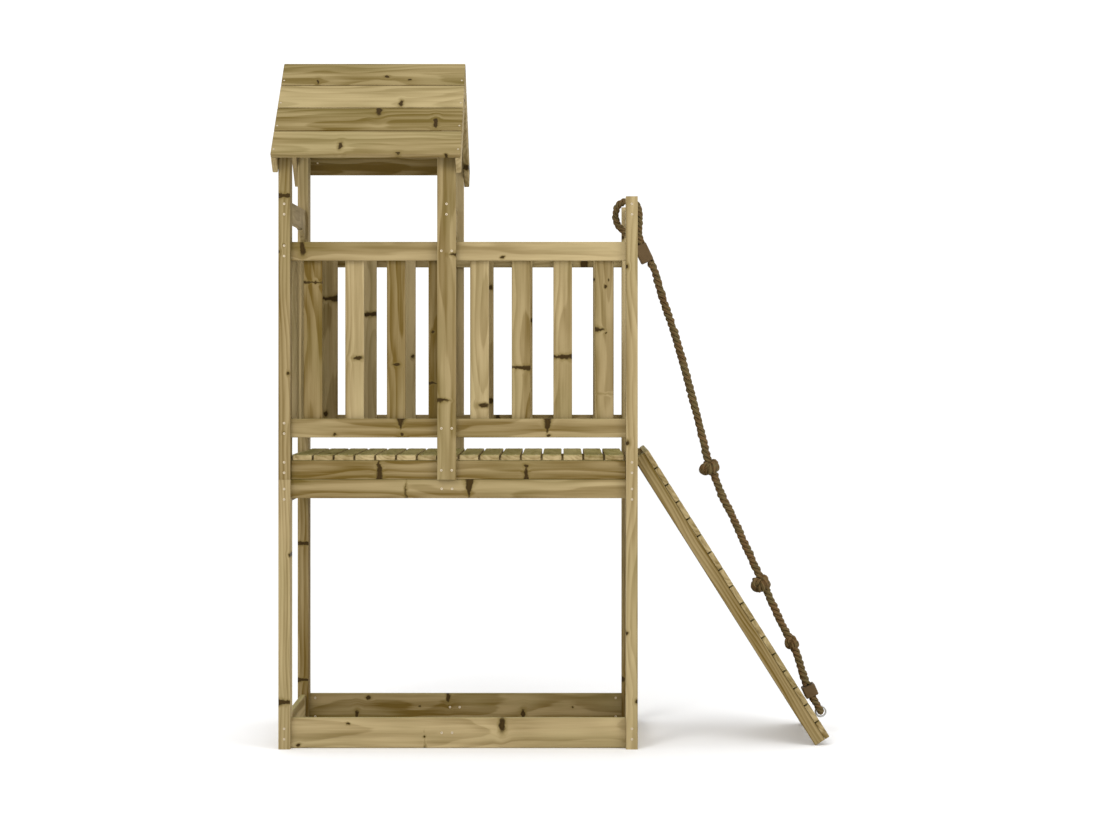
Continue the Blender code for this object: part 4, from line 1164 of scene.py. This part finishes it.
def add_screw(bm, place, facing, radius=HEAD_RADIUS):
    """A round head with a bevelled rim and a sunk recess, turned at random."""
    before = set(bm.verts)
    disc = bmesh.ops.create_circle(bm, cap_ends=True, segments=12, radius=radius)
    face = disc["verts"][0].link_faces[0]
    if face.normal.z < 0:
        face.normal_flip()
    grown = bmesh.ops.extrude_face_region(bm, geom=[face])
    raised = [item for item in grown["geom"] if isinstance(item, bmesh.types.BMVert)]
    bmesh.ops.translate(bm, verts=raised, vec=(0, 0, HEAD_RISE))
    bmesh.ops.scale(bm, verts=raised, vec=(HEAD_TOP, HEAD_TOP, 1))
    top = [item for item in grown["geom"] if isinstance(item, bmesh.types.BMFace)]
    bmesh.ops.inset_region(bm, faces=top, thickness=radius * RECESS_RING)
    dent = bmesh.ops.extrude_face_region(bm, geom=top)
    sunk = [item for item in dent["geom"] if isinstance(item, bmesh.types.BMVert)]
    bmesh.ops.translate(bm, verts=sunk, vec=(0, 0, -RECESS_DEPTH))
    bmesh.ops.scale(bm, verts=sunk, vec=(RECESS_FLOOR, RECESS_FLOOR, 1))
    for item in top:
        if item.is_valid:
            bm.faces.remove(item)
    made = [vert for vert in bm.verts if vert not in before]
    matrix = Matrix.Translation(place) @ Vector(facing).to_track_quat("Z", "Y").to_matrix().to_4x4()
    turn = Matrix.Rotation(screw_turns.uniform(0, math.pi), 4, "Z")
    bmesh.ops.transform(bm, matrix=matrix @ turn, verts=made)


screw_material = make_steel_material("screw_steel", SCREW_DARK, SCREW_LIGHT, 0.55, (420.0,), (0.2, 0.36))

# %% [markdown]
# ## Screws of the posts
# A pair of screws goes through the posts into every board end, one above the other, and pairs side by side go
# through the mid posts and the boards behind them. Front and rear are alike but for the sandbox, whose rear
# screws face inwards.

# %% Screws of the posts
PAIR = 0.016
BAR_HEIGHT, TOP_RAIL_HEIGHT, BOTTOM_RAIL_HEIGHT = 1.661, 1.5325, 0.987
LOW_HEIGHTS = (0.8665, 0.7845, 0.0475)
POST_HEIGHTS = {
    "left": (BAR_HEIGHT, TOP_RAIL_HEIGHT, BOTTOM_RAIL_HEIGHT, *LOW_HEIGHTS),
    "right": (BAR_HEIGHT, *LOW_HEIGHTS),
}
UPPER_BEAM_ROW, LOWER_BEAM_ROW, SANDBOX_ROW, REAR_SANDBOX_ROW = 0.858, 0.800, 0.048, 0.049
CORNER_INSET, CORNER_ROWS = 0.0196, (0.018, 0.0796)
MID_X = LEFT + 0.5172
bm = bmesh.new()
for side in (-1, 1):
    facing = (0, side, 0)
    spots = []
    for word, x in (("left", LEFT + POST_WIDTH / 2), ("right", LEFT + TOWER_LENGTH - POST_WIDTH / 2)):
        for height in POST_HEIGHTS[word]:
            spots += [(x, FRONT, height - PAIR), (x, FRONT, height + PAIR)]
    spots += [(MID_X, FRONT, BAR_HEIGHT - PAIR), (MID_X, FRONT, BAR_HEIGHT + PAIR)]
    rows = [(height, FRONT) for height in (TOP_RAIL_HEIGHT, BOTTOM_RAIL_HEIGHT, UPPER_BEAM_ROW)]
    rows.append((LOWER_BEAM_ROW, BOARD_OUTER))
    if side < 0:
        rows.append((SANDBOX_ROW, BOARD_OUTER))
    for height, depth in rows:
        spots += [(MID_X - PAIR, depth, height), (MID_X + PAIR, depth, height)]
    for x, depth, height in spots:
        add_screw(bm, (x, side * depth, height), facing)
for x in (MID_X - PAIR, MID_X + PAIR):
    add_screw(bm, (x, BOARD_INNER, REAR_SANDBOX_ROW), (0, -1, 0))
for x in (SPAN_LEFT + CORNER_INSET, SPAN_RIGHT - CORNER_INSET):
    for height in CORNER_ROWS:
        add_screw(bm, (x, BOARD_INNER, height), (0, -1, 0))
finish_panel(bm, "post_screws", screw_material, ())

# %% [markdown]
# ## Screws in the ends of the tower
# The long boards end between the posts, and the posts' outer sides show a pair of screws at each of them.

# %% Screws into the board ends
END_PAIR = 0.012
LONG_BOARDS = ("top_rail", "bottom_rail", "lower_beam", "sandbox_board")
heights = [(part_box(f"front_{word}")[0].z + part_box(f"front_{word}")[1].z) / 2 for word in LONG_BOARDS]
heights.append(DECK_TOP - BOARD_THICK - BOARD_WIDTH / 2)
board_middle = (BOARD_OUTER + BOARD_INNER) / 2
bm = bmesh.new()
for way, x in ((-1, LEFT), (1, LEFT + TOWER_LENGTH)):
    for side in (-1, 1):
        for height in heights:
            for shift in (-END_PAIR, END_PAIR):
                add_screw(bm, (x, side * board_middle, height + shift), (way, 0, 0))
finish_panel(bm, "end_screws", screw_material, ())

# %% [markdown]
# ## Screws of the planks
# Planks are held by smaller screws: two at both ends of each plank of the deck and the wall, and one at both
# ends of each plank of the roof. The deck and the wall are both rows of planks, so one helper does them.

# %% Screws of the deck, the roof and the wall
RAFTER_SHARE = 0.8
EAVE_SCREW = Vector((-0.793, 0.398, -BOARD_THICK))


def screw_row(bm, place, count, start, gap, reach, height):
    """Two screws at both ends of every plank, in a row of planks that runs along the place's own X."""
    out = place.to_3x3() @ Vector((0, 0, 1))
    for number in range(count):
        middle = start + number * (BOARD_WIDTH + gap) + BOARD_WIDTH / 2
        for side in (-1, 1):
            for shift in (-PAIR, PAIR):
                spot = Vector((middle + shift, side * reach, height))
                add_screw(bm, place @ spot, out, SMALL_HEAD)


bm = bmesh.new()
screw_row(bm, HERE, DECK_PLANKS, SPAN_LEFT + deck_gap, deck_gap, board_middle, DECK_TOP)
rafter_middles = (ROOF_LEFT + BOARD_THICK / 2, ROOF_RIGHT - BOARD_THICK / 2)
for side in (-1, 1):
    place = slope_place(side)
    out = place.to_3x3() @ Vector((0, 0, 1))
    for number in range(ROOF_PLANKS):
        down = number * roof_step + RAFTER_SHARE * (roof_step - ROOF_GAP)
        for x in rafter_middles:
            add_screw(bm, place @ Vector((side * x, down, 0)), out, SMALL_HEAD)
eave = slope_place(1)
under = eave.to_3x3() @ Vector((0, 0, -1))
add_screw(bm, eave @ EAVE_SCREW, under, SMALL_HEAD)
wall_reach, wall_face = WALL_HALF - BOARD_WIDTH / 2, STRINGER_DEPTH + BOARD_THICK
screw_row(bm, wall_place, WALL_PLANKS, 0, wall_gap, wall_reach, wall_face)
finish_panel(bm, "plank_screws", screw_material, ())

# %% [markdown]
# ## Floor and light
# A pale floor and large soft lights, as in a product studio. A sun would throw hard shadows, and the
# photograph shows hardly any. The strongest light stands high at the front left, and a bright world fills the
# rest.

# %% Floor, world and lights
def make_floor():
    bm = bmesh.new()
    bmesh.ops.create_grid(bm, x_segments=1, y_segments=1, size=30)
    made, tree, shader = new_material("pale_floor")
    finish_shader(tree, shader, (0.93, 0.93, 0.93, 1), 0.9)
    place_mesh(bm, "floor", made)


def area_light(name, place, aim, size, power):
    light = bpy.data.objects.new(name, bpy.data.lights.new(name, "AREA"))
    light.data.shape = "DISK"
    light.data.size = size
    light.data.energy = power
    light.location = place
    light.rotation_euler = (Vector(aim) - Vector(place)).to_track_quat("-Z", "Y").to_euler()
    bpy.context.scene.collection.objects.link(light)


make_floor()
world = bpy.data.worlds.new("studio")
world.use_nodes = True
plug_in(world.node_tree, world.node_tree.nodes["Background"], {"Color": (1, 1, 1, 1), "Strength": 1.1})
bpy.context.scene.world = world
bpy.context.scene.view_settings.view_transform = "Standard"
area_light("key", place=(-2.6, -4.6, 4.6), aim=(0, 0, 1.0), size=2.2, power=105)
area_light("fill", place=(4.0, -3.2, 2.2), aim=(0, 0, 0.9), size=3.0, power=80)
print("lights:", len(bpy.data.lights))
